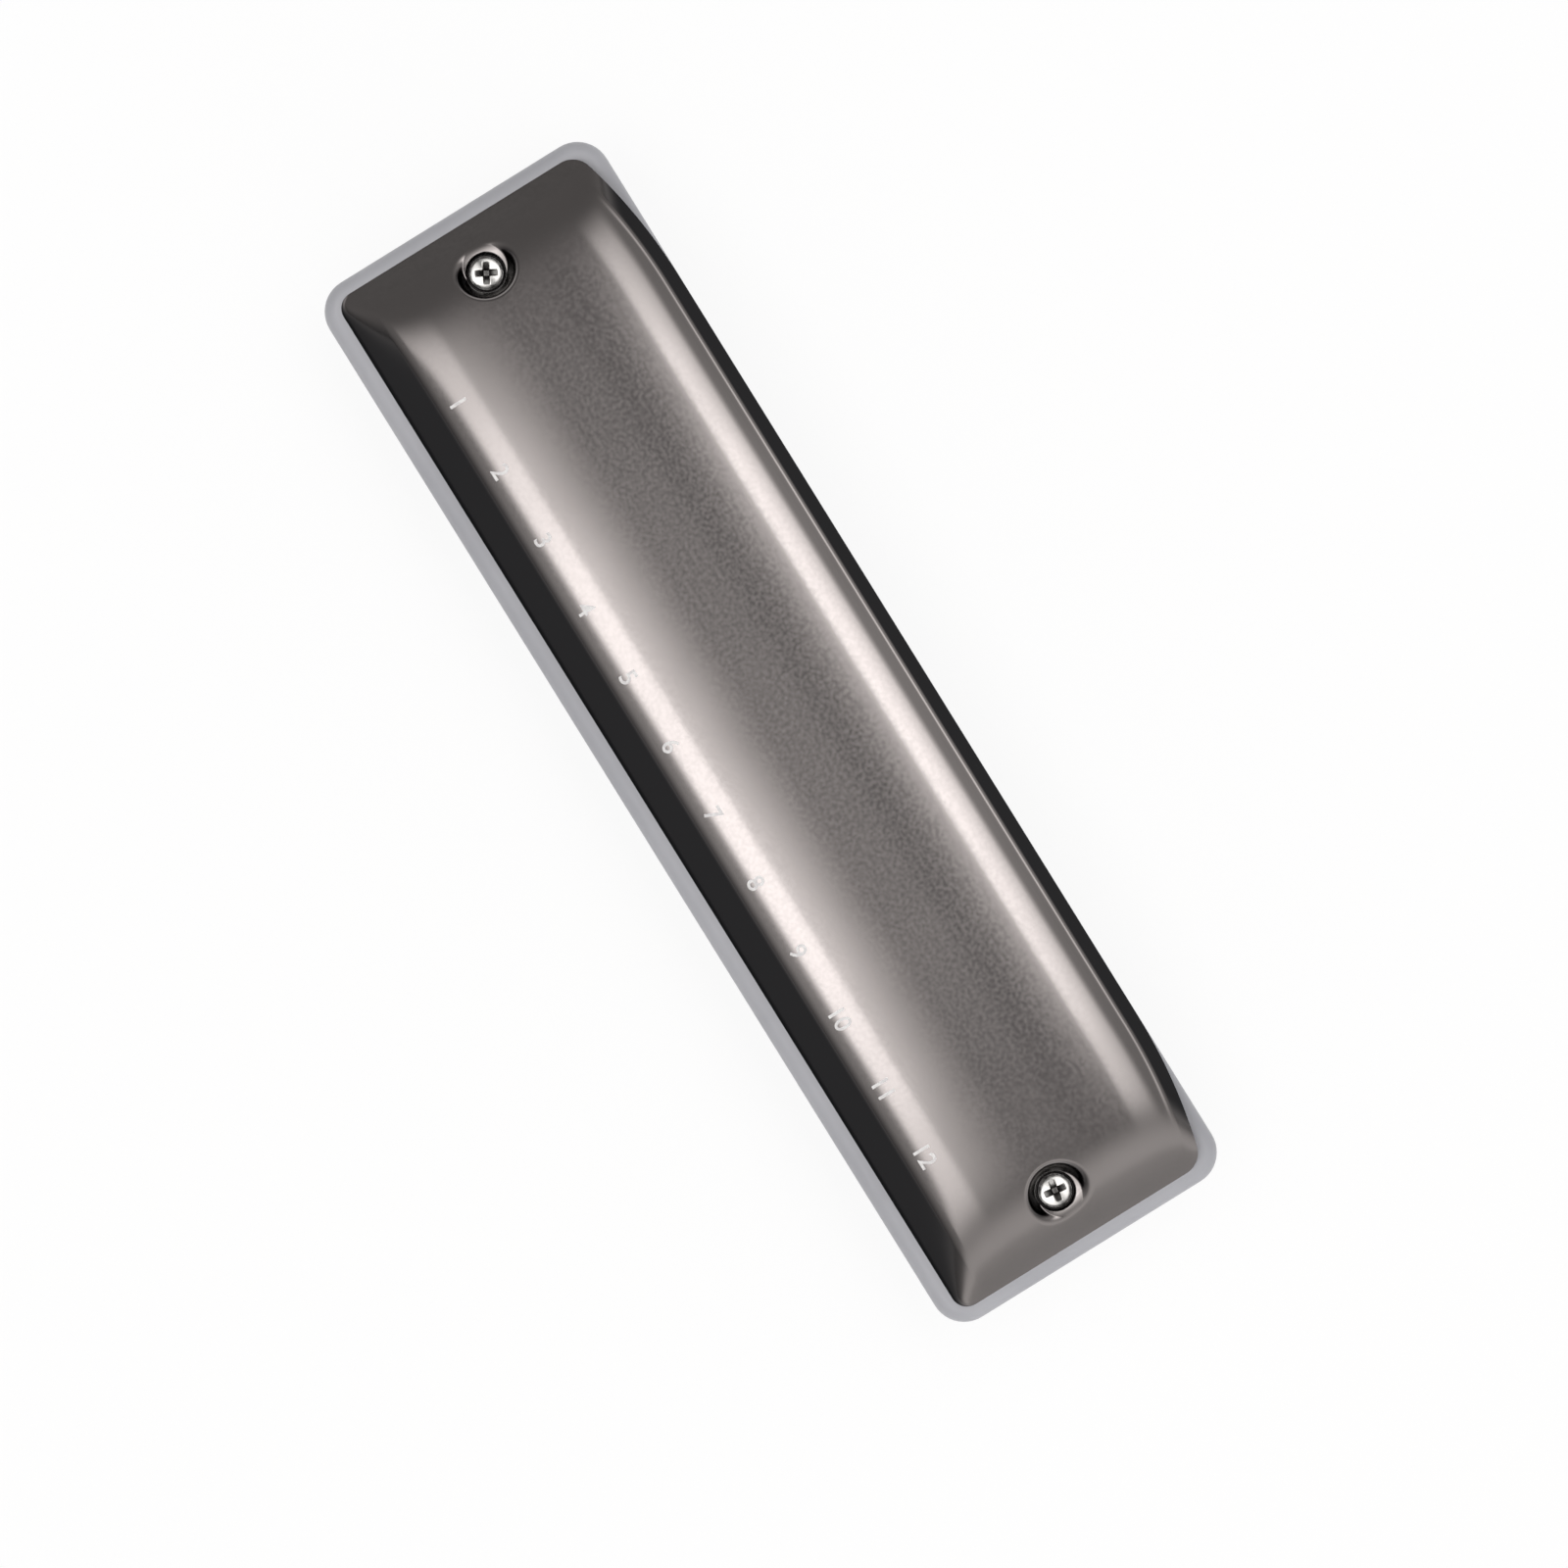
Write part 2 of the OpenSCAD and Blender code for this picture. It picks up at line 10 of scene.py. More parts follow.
import bmesh
import bpy
import numpy as np
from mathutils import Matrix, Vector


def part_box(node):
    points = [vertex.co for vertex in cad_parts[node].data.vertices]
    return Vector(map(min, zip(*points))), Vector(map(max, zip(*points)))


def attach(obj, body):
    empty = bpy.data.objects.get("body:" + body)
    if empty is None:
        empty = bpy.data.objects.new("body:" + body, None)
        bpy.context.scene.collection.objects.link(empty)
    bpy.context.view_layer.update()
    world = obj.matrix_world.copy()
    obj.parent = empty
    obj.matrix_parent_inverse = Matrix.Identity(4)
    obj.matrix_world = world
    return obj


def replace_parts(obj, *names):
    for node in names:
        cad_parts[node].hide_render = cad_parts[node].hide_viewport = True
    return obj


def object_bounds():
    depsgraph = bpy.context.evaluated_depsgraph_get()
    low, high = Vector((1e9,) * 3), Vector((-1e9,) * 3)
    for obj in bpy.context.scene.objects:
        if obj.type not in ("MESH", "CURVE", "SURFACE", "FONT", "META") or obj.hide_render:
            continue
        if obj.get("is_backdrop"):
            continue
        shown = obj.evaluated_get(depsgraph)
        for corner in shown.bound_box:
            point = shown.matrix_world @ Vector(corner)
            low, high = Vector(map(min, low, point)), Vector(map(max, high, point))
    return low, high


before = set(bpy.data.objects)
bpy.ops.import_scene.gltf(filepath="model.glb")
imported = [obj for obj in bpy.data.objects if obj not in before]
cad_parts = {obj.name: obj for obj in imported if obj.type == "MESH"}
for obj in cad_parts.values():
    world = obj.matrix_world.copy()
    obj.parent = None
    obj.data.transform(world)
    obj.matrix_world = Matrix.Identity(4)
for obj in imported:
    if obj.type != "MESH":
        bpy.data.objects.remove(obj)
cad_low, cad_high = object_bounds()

MM = 0.001

# %% [markdown]
# ## Meshes from arrays
# A surface is a grid of points, so its faces follow from the grid's own numbering: each square joins
# four neighbours. Numbers of vertices are kept in arrays too, which lets several grids share an edge
# without doubled points. The faces are written out once, at the end.


# %% Helpers for grids
def grid_faces(index):
    """Squares between neighbours of a 2-D array of vertex numbers, facing along (rows x columns)."""
    return np.stack([index[:-1, :-1], index[1:, :-1], index[1:, 1:], index[:-1, 1:]], -1).reshape(-1, 4)


def closed(index):
    """The same rows of vertex numbers with their first column once more at the end, so that rings close."""
    return np.column_stack([index, index[:, 0]])


def joined(parts):
    """Several (points, faces) pairs as one, each pair's vertex numbers moved on past the ones before."""
    starts = np.cumsum([0] + [len(points) for points, _ in parts])
    moved = [faces + start for (_, faces), start in zip(parts, starts)]
    return np.vstack([points for points, _ in parts]), np.vstack(moved)


def make_piece(name, points, faces, sharp=math.radians(35)):
    """Mesh object from an array of points and an array of faces, smooth except at edges over `sharp`.
    Vertices that no face uses are left out."""
    used, numbers = np.unique(faces, return_inverse=True)
    mesh = bpy.data.meshes.new(name)
    mesh.from_pydata(points[used].tolist(), [], numbers.reshape(faces.shape).tolist())
    mesh.validate()
    mesh.shade_smooth()
    mesh.set_sharp_from_angle(angle=sharp)
    piece = bpy.data.objects.new(name, mesh)
    bpy.context.scene.collection.objects.link(piece)
    print(f"{name}: {len(used)} points, {len(faces)} faces")
    return piece


def dress(piece, material):
    """Gives a new piece its material and the root body to ride on."""
    piece.data.materials.clear()
    piece.data.materials.append(material)
    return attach(piece, "root")


# %% [markdown]
# ## The section of a cover
# A cover is pressed from half-millimetre sheet. Cut across, it is a chain of straights and arcs: a
# steep shoulder over the holes, a wide bend into a nearly flat crown, a roll down to a small bead, and
# a turned-down lip. A curve object could be drawn by eye, but a chain of arcs has the bend radii of
# the real press tool, and its offset gives the inside of the sheet exactly.
# The solid's crown has 9 mm of dead flat for it to rest on. Here 4 mm stay flat and the rest is bowed
# by less than a tenth of a millimetre, because the photographed crown's grey changes slowly.

# %% Sizes of a cover
SHEET = 0.5 * MM
# Slopes where one arc or straight meets the next, from the foot over the crown to the lip's edge.
SHOULDER, BROW, CROWN, BACK_BROW, ROLL, BEAD, LIP = (math.radians(a) for a in (58, 20, 3, 14, 30, 12, 60))
SHOULDER_R, BROW_R, ROLL_R, GROOVE_R, BEAD_R = 1.8 * MM, 12 * MM, 4 * MM, 0.8 * MM, 0.6 * MM
CROWN_FLAT, ROLL_LEN, LIP_LEN = 4 * MM, 0.3 * MM, 2.2 * MM
# The corners' arc, how far the lip sweeps in over which length, and the slope and length of a domed end.
CORNER_R = 1.6 * MM
WING_IN, WING_LEN = 2.2 * MM, 15 * MM
END, END_LEN = math.radians(42), 24 * MM

cover_low, cover_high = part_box("upper_cover")
FOOT_Z = cover_low.z
FRONT, SPAN = cover_low.y, cover_high.y - cover_low.y
HALF = cover_high.x
HEIGHT = cover_high.z - cover_low.z
print(f"cover: {2 * HALF / MM:.1f} x {SPAN / MM:.2f} x {HEIGHT / MM:.1f} mm")


# %% The chain of arcs
def chain(*pieces):
    """Stations (run, height, slope) along straights and arcs laid end to end.
    A piece is (size, first slope, last slope, steps). A straight's size is its length and an arc's is
    its radius. Each step of an arc is a chord of 2 r sin(half its turn) along its middle slope."""
    chords, headings, slopes = [], [], [np.array([pieces[0][1]])]
    for size, first, last, steps in pieces:
        stops = np.linspace(first, last, steps + 1)
        if first == last:
            lengths = np.full(steps, size / steps)
        else:
            lengths = 2 * size * np.sin(np.abs(np.diff(stops)) / 2)
        chords.append(lengths)
        headings.append((stops[:-1] + stops[1:]) / 2)
        slopes.append(stops[1:])
    chord, heading = np.concatenate(chords), np.concatenate(headings)
    run = np.concatenate([[0], np.cumsum(chord * np.cos(heading))])
    height = np.concatenate([[0], np.cumsum(chord * np.sin(heading))])
    return run, height, np.concatenate(slopes)


# The crown's radius and the shoulder's length follow from the cover's height and span.
bends = (
    SHOULDER_R * (math.sin(SHOULDER) - math.sin(BROW)) + CROWN_FLAT
    + BROW_R * (math.sin(BROW) + math.sin(BACK_BROW) - 2 * math.sin(CROWN))
    + ROLL_R * (math.sin(ROLL) - math.sin(BACK_BROW)) + ROLL_LEN * math.cos(ROLL)
    + GROOVE_R * (math.sin(ROLL) - math.sin(BEAD)) + BEAD_R * (math.sin(LIP) - math.sin(BEAD))
    + LIP_LEN * math.cos(LIP)
)
bend_rise = SHOULDER_R * (math.cos(BROW) - math.cos(SHOULDER)) + BROW_R * (math.cos(CROWN) - math.cos(BROW))
cot = 1 / math.tan(SHOULDER)
CROWN_R = (SPAN - bends - cot * (HEIGHT - bend_rise)) / (2 * math.sin(CROWN) - cot * (1 - math.cos(CROWN)))
RAMP_LEN = (HEIGHT - bend_rise - CROWN_R * (1 - math.cos(CROWN))) / math.sin(SHOULDER)

RUN, RISE, SLOPE = chain(
    (RAMP_LEN, SHOULDER, SHOULDER, 10),
    (SHOULDER_R, SHOULDER, BROW, 10),
    (BROW_R, BROW, CROWN, 14),
    (CROWN_R, CROWN, 0, 16),
    (CROWN_FLAT, 0, 0, 10),
    (CROWN_R, 0, -CROWN, 16),
    (BROW_R, -CROWN, -BACK_BROW, 10),
    (ROLL_R, -BACK_BROW, -ROLL, 6),
    (ROLL_LEN, -ROLL, -ROLL, 1),
    (GROOVE_R, -ROLL, -BEAD, 4),
    (BEAD_R, -BEAD, -LIP, 8),
    (LIP_LEN, -LIP, -LIP, 6),
)
print(f"crown radius {CROWN_R / MM:.1f} mm, ramp {RAMP_LEN / MM:.2f} mm")
print(f"the section ends {RUN[-1] / MM:.2f} mm from the front")

# %% [markdown]
# ## The whole sheet as a height over the comb
# Towards each end the crown bends down in a dome to the comb. Near a corner the outline is drawn in
# along an arc, and the lip sweeps in towards the wings. All of that is one formula of two parameters,
# the distance along the section and the distance from the end.
# On the real cover a punch draws the sheet down round each screw. Here that well is a small tilted pad
# with a smooth wall about it, and in the pad a steep hole with a floor on the comb. Each of these is a
# short formula too, and soft minimums blend one into the next, so that every edge is rounded as drawn
# metal is. A Boolean modifier would leave sharp edges there.

# %% Numbers of the sheet's formulas
# Shares of the span over which the outline's shift turns from the front's to the back's.
TURN_FROM, TURN_TO = 0.25, 0.75
# A domed end is worked out up to this share of its length, because its own climb is endless there.
DOME_SHARE = 0.999
# Rounds in which the run is stepped towards its y, and a value that keeps roots away from zero.
RUN_ROUNDS, TINY = 8, 1e-30


# %% Formulas of the sheet
def smooth_step(x):
    """0 below 0, 1 above 1, and 3 x^2 - 2 x^3 between."""
    x = np.clip(x, 0, 1)
    return x * x * (3 - 2 * x)


def domed(a, end):
    """Height at a distance from the end where the section alone is a high.
    The end by itself would climb as b = d tan(END) / (1 - d / END_LEN). The two meet as
    a b / sqrt(a^2 + b^2), which leaves the foot at the end's slope and is the section alone from
    END_LEN on."""
    a, near_end = np.maximum(a, 0), np.clip(end, 0, DOME_SHARE * END_LEN)
    b = near_end * math.tan(END) / (1 - near_end / END_LEN)
    return np.where(end >= END_LEN, a, a * b / np.sqrt(np.maximum(a * a + b * b, TINY)))


def plan_shift(run, end, depth):
    """How far the outline is moved back at a distance `end` from the end: corner arcs in, lip swept in."""
    r = CORNER_R - depth / math.sin(SHOULDER)
    corner = np.where(end < r, r - np.sqrt(np.maximum(r * r - (r - end) ** 2, 0)), 0)
    sweep = WING_IN * (1 - np.minimum(1, end / WING_LEN)) ** 2
    back = smooth_step((run / SPAN - TURN_FROM) / (TURN_TO - TURN_FROM))
    return corner * (1 - 2 * back) - sweep * back


def section_at(depth):
    """The section moved a depth into the sheet, its foot and its edge kept level."""
    run, rise = RUN + depth * np.sin(SLOPE), RISE - depth * np.cos(SLOPE)
    run[0], rise[0] = depth / math.sin(SHOULDER), 0
    run[-1], rise[-1] = RUN[-1] - depth / math.sin(LIP), RISE[-1]
    return run, rise


def sheet_height(x, y, depth):
    """Height over the comb at (x, y). The run is found by stepping towards the y that it gives. Between
    two stations the rise is the cubic that has their heights and their slopes, so that no chord shows."""
    run_at, rise_at = section_at(depth)
    end = np.maximum(HALF - depth / math.sin(END) - np.abs(x), 0)
    run = y - FRONT
    for _ in range(RUN_ROUNDS):
        run = y - FRONT - plan_shift(run, end, depth)
    i = np.clip(np.searchsorted(run_at, run) - 1, 0, len(run_at) - 2)
    gap = run_at[i + 1] - run_at[i]
    t = np.clip((run - run_at[i]) / gap, 0, 1)
    first, last = np.tan(SLOPE[i]) * gap, np.tan(SLOPE[i + 1]) * gap
    step = smooth_step(t)
    rise = rise_at[i] * (1 - step) + rise_at[i + 1] * step + first * t * (1 - t) ** 2 - last * t * t * (1 - t)
    return domed(rise, end)


print(f"the crown stands {float(sheet_height(0.0, 0.0, 0)) / MM:.2f} mm over the comb")

# %% Sizes of a screw well
screw_low, screw_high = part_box("cover_screws")
HEAD_R = screw_high.y
SCREW_X = screw_high.x - HEAD_R
# Radii of the hole in the pad: round a screw's head, round a nut, and in the floor.
HEAD_WELL_R, NUT_WELL_R, WELL_HOLE_R = 1.8 * MM, 2.1 * MM, 1.15 * MM
# The hole's draft, the rounding of its mouth and of its floor, and where and how steeply the floor ends.
WELL_DRAFT, RIM_SOFT, FLOOR_SOFT = math.radians(3), 0.25 * MM, 0.4 * MM
FLOOR_REACH, FLOOR_DROP = 2.5 * MM, 3
# The pad's middle lies outwards and back of the screw. Its width past the hole, its wall and the wall's law.
PAD_OUT, PAD_BACK, PAD_WIDE = 0.45 * MM, 0.2 * MM, 0.3 * MM
PAD_WALL, PAD_POWER = 1.3 * MM, 0.7
# The pad's height over the comb, its slope to the back, the radius of its bow, and how softly it meets
# the sheet.
PAD_Z, PAD_TILT, PAD_BOW, PAD_SOFT = 2.5 * MM, 0.12, 14 * MM, 0.7 * MM
print(f"wells at x = +-{SCREW_X / MM:.1f} mm, screw heads {2 * HEAD_R / MM:.1f} mm wide")


# %% Formulas of a screw well
def soft_min(a, b, k):
    """The lower of a and b, with a parabola k wide over the place where they cross."""
    t = np.clip(0.5 + (b - a) / (2 * k), 0, 1)
    return b + (a - b) * t - k * t * (1 - t)


def well_height(x, y, centre_x, well_r, depth):
    """The sheet's height, brought down to a small pad round the screw by a smooth wall, then cut by a
    steep hole and the hole's floor, all a depth into the sheet."""
    radius = np.hypot(x - centre_x, y)
    from_pad = np.hypot(x - centre_x - math.copysign(PAD_OUT, centre_x), y - PAD_BACK)
    up_the_wall = np.maximum((from_pad - well_r - PAD_WIDE - depth) / PAD_WALL, 0)
    pad = PAD_Z - depth + PAD_TILT * y + from_pad**2 / (2 * PAD_BOW)
    sheet = sheet_height(x, y, depth)
    low = soft_min(sheet, pad, PAD_SOFT)
    mouth = low + (sheet - low) * smooth_step(up_the_wall**PAD_POWER)
    floor = SHEET - depth
    hole = floor + (radius - well_r - depth) / math.tan(WELL_DRAFT)
    rim = soft_min(mouth, hole, RIM_SOFT)
    floor = floor - FLOOR_DROP * np.maximum(radius - FLOOR_REACH, 0)
    return -soft_min(-rim, -floor, FLOOR_SOFT)


floor_height = float(well_height(SCREW_X, 0.0, SCREW_X, HEAD_WELL_R, 0))
print(f"a well's floor lies {floor_height / MM:.2f} mm over the comb")

# %% [markdown]
# ## One closed sheet
# The main grid runs from end to end and from foot to lip. Round each well its squares are left out,
# and rings take their place: the outermost ring uses the grid's own points, and the next ones close
# in on the screw's hole. The inside of the sheet is the same work at the depth of the sheet, and
# strips join the two at every free edge. A solidify modifier would be shorter, but it moves each point
# along its normal, so the inside of the foot would no longer lie level on the comb.

# %% Grid stations and rings
# Distances from an end: close over the corner's arc, 0.3 mm apart over the dome, then wider.
corner_steps = CORNER_R * (1 - np.cos(np.linspace(0, math.pi / 2, 10)))
dome_steps, long_steps = np.arange(1.9, 14, 0.3) * MM, np.linspace(14.4, 25, 22) * MM
END_STATIONS = np.concatenate([corner_steps, dome_steps, long_steps, [HALF]])
ALONG = np.concatenate([END_STATIONS - HALF, (HALF - END_STATIONS)[-2::-1]])
# The block round a well that rings fill, the shares of their way to it, and their radii in mm after it.
PATCH_REACH_X, PATCH_REACH_Y = 4.9 * MM, 6.2 * MM
RING_SHARES = np.linspace(0, 1, 9)[1:-1, None]
RING_RADII = np.concatenate([np.linspace(4.4, 1.7, 76), [1.5, 1.3, WELL_HOLE_R / MM]])[:, None] * MM


def near(stations, centre, reach):
    """Slice of the stations that lie nearer to the centre than that reach."""
    found = np.flatnonzero(np.abs(stations - centre) < reach)
    return slice(found[0], found[-1] + 1)


WELLS = [
    (centre, near(ALONG, centre, PATCH_REACH_X), near(FRONT + RUN, 0, PATCH_REACH_Y))
    for centre in (-SCREW_X, SCREW_X)
]
print(f"grid: {len(ALONG)} stations along, {len(RUN)} across, {len(RING_RADII)} round rings in a well")


# %% The sheet from its formulas
def well_rings(points, block, centre_x, well_r, depth):
    """Rings from the edge of a block of the grid in to a screw's hole. Gives their new points, their
    faces, and the vertex numbers round the hole."""
    ring = np.concatenate([block[:, 0], block[-1, 1:], block[-2::-1, -1], block[0, -2:0:-1]])
    offset = points[ring, :2] - [centre_x, 0]
    angle, edge = np.arctan2(offset[:, 1], offset[:, 0]), np.hypot(offset[:, 0], offset[:, 1])
    between = edge + RING_SHARES * (RING_RADII[0] - edge)
    radius = np.vstack([between, RING_RADII + 0 * edge])
    x, y = centre_x + radius * np.cos(angle), radius * np.sin(angle)
    z = well_height(x, y, centre_x, well_r, depth)
    fresh = len(points) + np.arange(x.size).reshape(x.shape)
    faces = grid_faces(closed(np.vstack([ring, fresh])))[:, ::-1]
    return np.stack([x, y, z], -1).reshape(-1, 3), faces, fresh[-1]


def skin(depth, well_r):
    """One side of the sheet, a depth into it: its points, the grid of vertex numbers, lists of faces,
    and the vertex numbers round both screw holes."""
    reach = HALF - depth / math.sin(END)
    end = END_STATIONS * reach / HALF
    x = np.concatenate([end - reach, (reach - end)[-2::-1]])[:, None]
    end = np.concatenate([end, end[-2::-1]])[:, None]
    run, rise = (a[None, :] for a in section_at(depth))
    y = FRONT + run + plan_shift(run, end, depth)
    z = domed(rise, end)
    points = np.stack(np.broadcast_arrays(x, y, z), -1)
    number = np.arange(points[..., 0].size).reshape(points.shape[:2])
    points, faces, holes = points.reshape(-1, 3), [grid_faces(number)], []
    for centre_x, columns, rows in WELLS:
        block = number[columns, rows]
        inside = np.isin(faces[0], block).all(1)
        faces[0] = faces[0][~inside]
        fresh, ring_faces, hole = well_rings(points, block, centre_x, well_r, depth)
        points = np.vstack([points, fresh])
        faces.append(ring_faces)
        holes.append(hole)
    return points, number, faces, holes


def sides(number):
    """Vertex numbers along the four free edges of a grid, all the same way round."""
    return number[:, 0], number[-1, :], number[::-1, -1], number[0, ::-1]


def cover_mesh(well_r):
    """Points and faces of the closed sheet, its foot on the comb's upper face."""
    points, number, faces, holes = skin(0, well_r)
    in_points, in_number, in_faces, in_holes = skin(SHEET, well_r)
    shift = len(points)
    faces += [(f + shift)[:, ::-1] for f in in_faces]
    edges = zip(sides(number), sides(in_number))
    faces += [grid_faces(np.stack([a, b + shift]))[:, ::-1] for a, b in edges]
    faces += [grid_faces(closed(np.stack([a, b + shift]))) for a, b in zip(holes, in_holes)]
    return np.vstack([points, in_points]) + [0, 0, FOOT_Z], np.vstack(faces)


upper_cover = make_piece("upper_cover_sheet", *cover_mesh(HEAD_WELL_R))
# The same pressing turned over about the axis from front to back, so its faces still point outwards.
under_points, under_faces = cover_mesh(NUT_WELL_R)
lower_cover = make_piece("lower_cover_sheet", under_points * [-1, 1, -1], under_faces)

# %% [markdown]
# ## Materials
# Every finish starts from a Principled shader and a little node work on Object coordinates, which
# stay with the piece when it moves. Real plating and moulding are never one flat colour: a slow
# noise shifts the colour, a fine one roughens it, and a bump gives the grain.


# %% Helpers for nodes
def new_nodes(tree, *kinds):
    """One new node of each kind."""
    return [tree.nodes.new(f"ShaderNode{kind}") for kind in kinds]


def calc(tree, operation, *operands):
    """One step of arithmetic. Each operand is a socket or a number."""
    (made,) = new_nodes(tree, "Math")
    made.operation = operation
    for target, operand in zip(made.inputs, operands):
        if hasattr(operand, "is_linked"):
            tree.links.new(operand, target)
        else:
            target.default_value = operand
    return made.outputs[0]


def fade(tree, amount, span, low, high):
    """A smooth step from low to high as `amount` goes over the span."""
    (made,) = new_nodes(tree, "MapRange")
    made.interpolation_type = "SMOOTHSTEP"
    for name, value in zip(("From Min", "From Max", "To Min", "To Max"), (*span, low, high)):
        made.inputs[name].default_value = value
    tree.links.new(amount, made.inputs["Value"])
    return made.outputs["Result"]


# %% Helper for finishes
# Nearly all of a noise lies between these two values. A Mix node's colour sockets have these places.
NOISE_SPAN = (0.3, 0.7)
MIX_FIRST, MIX_LAST, MIX_OUT = 6, 7, 2


class Finish:
    """A Principled material with short calls for the nodes that feed it."""

    def __init__(self, name, color, metallic, roughness):
        self.material = bpy.data.materials.new(name)
        self.material.use_nodes = True
        self.tree = self.material.node_tree
        self.shader = self.tree.nodes["Principled BSDF"]
        self.shader.inputs["Base Color"].default_value = (*color, 1)
        self.shader.inputs["Metallic"].default_value = metallic
        self.shader.inputs["Roughness"].default_value = roughness
        self.place = self.tree.nodes.new("ShaderNodeTexCoord")
        print("finish:", name)

    def node(self, kind, **values):
        """A node of that kind, its sockets set by name."""
        (made,) = new_nodes(self.tree, kind)
        for key, value in values.items():
            made.inputs[key].default_value = value
        return made

    def link(self, source, target):
        """Joins an output socket to an input socket."""
        self.tree.links.new(source, target)

    def axes(self, coordinates):
        """X, Y and Z of Object or Normal coordinates, by name."""
        made = self.node("SeparateXYZ")
        self.link(self.place.outputs[coordinates], made.inputs["Vector"])
        return made.outputs

    def noise(self, scale, detail=2.0, stretch=(1, 1, 1)):
        """Noise over Object coordinates, drawn out along an axis by a small number in `stretch`."""
        mapping = self.node("Mapping", Scale=stretch)
        made = self.node("TexNoise", Scale=scale, Detail=detail)
        self.link(self.place.outputs["Object"], mapping.inputs["Vector"])
        self.link(mapping.outputs["Vector"], made.inputs["Vector"])
        return made.outputs["Fac"]

    def varied(self, scale, detail, low, high, span=NOISE_SPAN):
        """A number that wanders from low to high with a noise."""
        return fade(self.tree, self.noise(scale, detail), span, low, high)

    def tint(self, amount, first, last):
        """A colour that goes from first to last with `amount`."""
        made = self.node("Mix")
        made.data_type = "RGBA"
        made.inputs[MIX_FIRST].default_value = (*first, 1)
        made.inputs[MIX_LAST].default_value = (*last, 1)
        self.link(amount, made.inputs["Factor"])
        return made.outputs[MIX_OUT]

    def times(self, first, second):
        """The product of two sockets."""
        return calc(self.tree, "MULTIPLY", first, second)

    def well_distance(self):
        """Distance of a point from the nearer screw's axis, from |x| and y."""
        parts = self.axes("Object")
        flat, away = self.node("CombineXYZ"), self.node("VectorMath")
        away.operation = "DISTANCE"
        self.link(calc(self.tree, "ABSOLUTE", parts["X"]), flat.inputs["X"])
        self.link(parts["Y"], flat.inputs["Y"])
        self.link(flat.outputs["Vector"], away.inputs[0])
        away.inputs[1].default_value = (SCREW_X, 0, 0)
        return away.outputs["Value"]

    def color(self, socket):
        """The colour comes from this socket."""
        self.link(socket, self.shader.inputs["Base Color"])

    def roughness(self, socket):
        """The roughness comes from this socket."""
        self.link(socket, self.shader.inputs["Roughness"])

    def bump(self, height, distance, strength=1.0):
        """A bump of that real depth in metres."""
        made = self.node("Bump", Strength=strength, Distance=distance)
        self.link(height, made.inputs["Height"])
        self.link(made.outputs["Normal"], self.shader.inputs["Normal"])


# %% [markdown]
# ## Satin dark nickel, with painted shade
# The covers are plated dark and polished to a satin, so the crown mirrors the lamps as a soft grey.
# The black on the steep shoulder over the holes, on the turned-down lip and down the walls of the wells
# is painted shade. It stands in for the dark that those slopes mirror and for the shade in the wells.
# The ends are also painted a little darker, as painted shade. The colour therefore follows the slope of
# the sheet, which the Object normal gives, and the distances from a screw and from the middle. A painted
# mask would do the same, but it would have to be drawn anew for every change of shape.

# %% The covers' finish and its painted shade
CROWN_GREY, PAINTED_SHADE_BLACK = (0.33, 0.306, 0.298), (0.02, 0.0195, 0.0205)
# How brightly the painted-shade black and the grey mirror at a grazing angle, where a plain metal turns
# white. The dimmer tint on the black is painted shade on the reflection.
PAINTED_SHADE_GRAZING, GRAZING_GREY = (0.56, 0.56, 0.56), (1, 1, 1)
# The normal's Y over which painted shade goes from black to grey at the front and from grey to black at the
# back, and its Z over which it goes up a wall.
FRONT_SHADE_SPAN, BACK_SHADE_SPAN = (-0.86, -0.22), (0.45, 0.8)
WALL_SHADE_SPAN, WALL_SHADE = (0.3, 0.6), 0.2
# The distance from a screw over which the painted shade of a well fades out, and how grey it is inside.
WELL_SHADE_SPAN, WELL_SHADE = (HEAD_R, HEAD_WELL_R + 0.1 * MM), 0.15
# The distance from the middle over which painted shade darkens the ends, and how grey they end up.
END_SHADE_SPAN, END_SHADE = (16 * MM, 42 * MM), 0.78


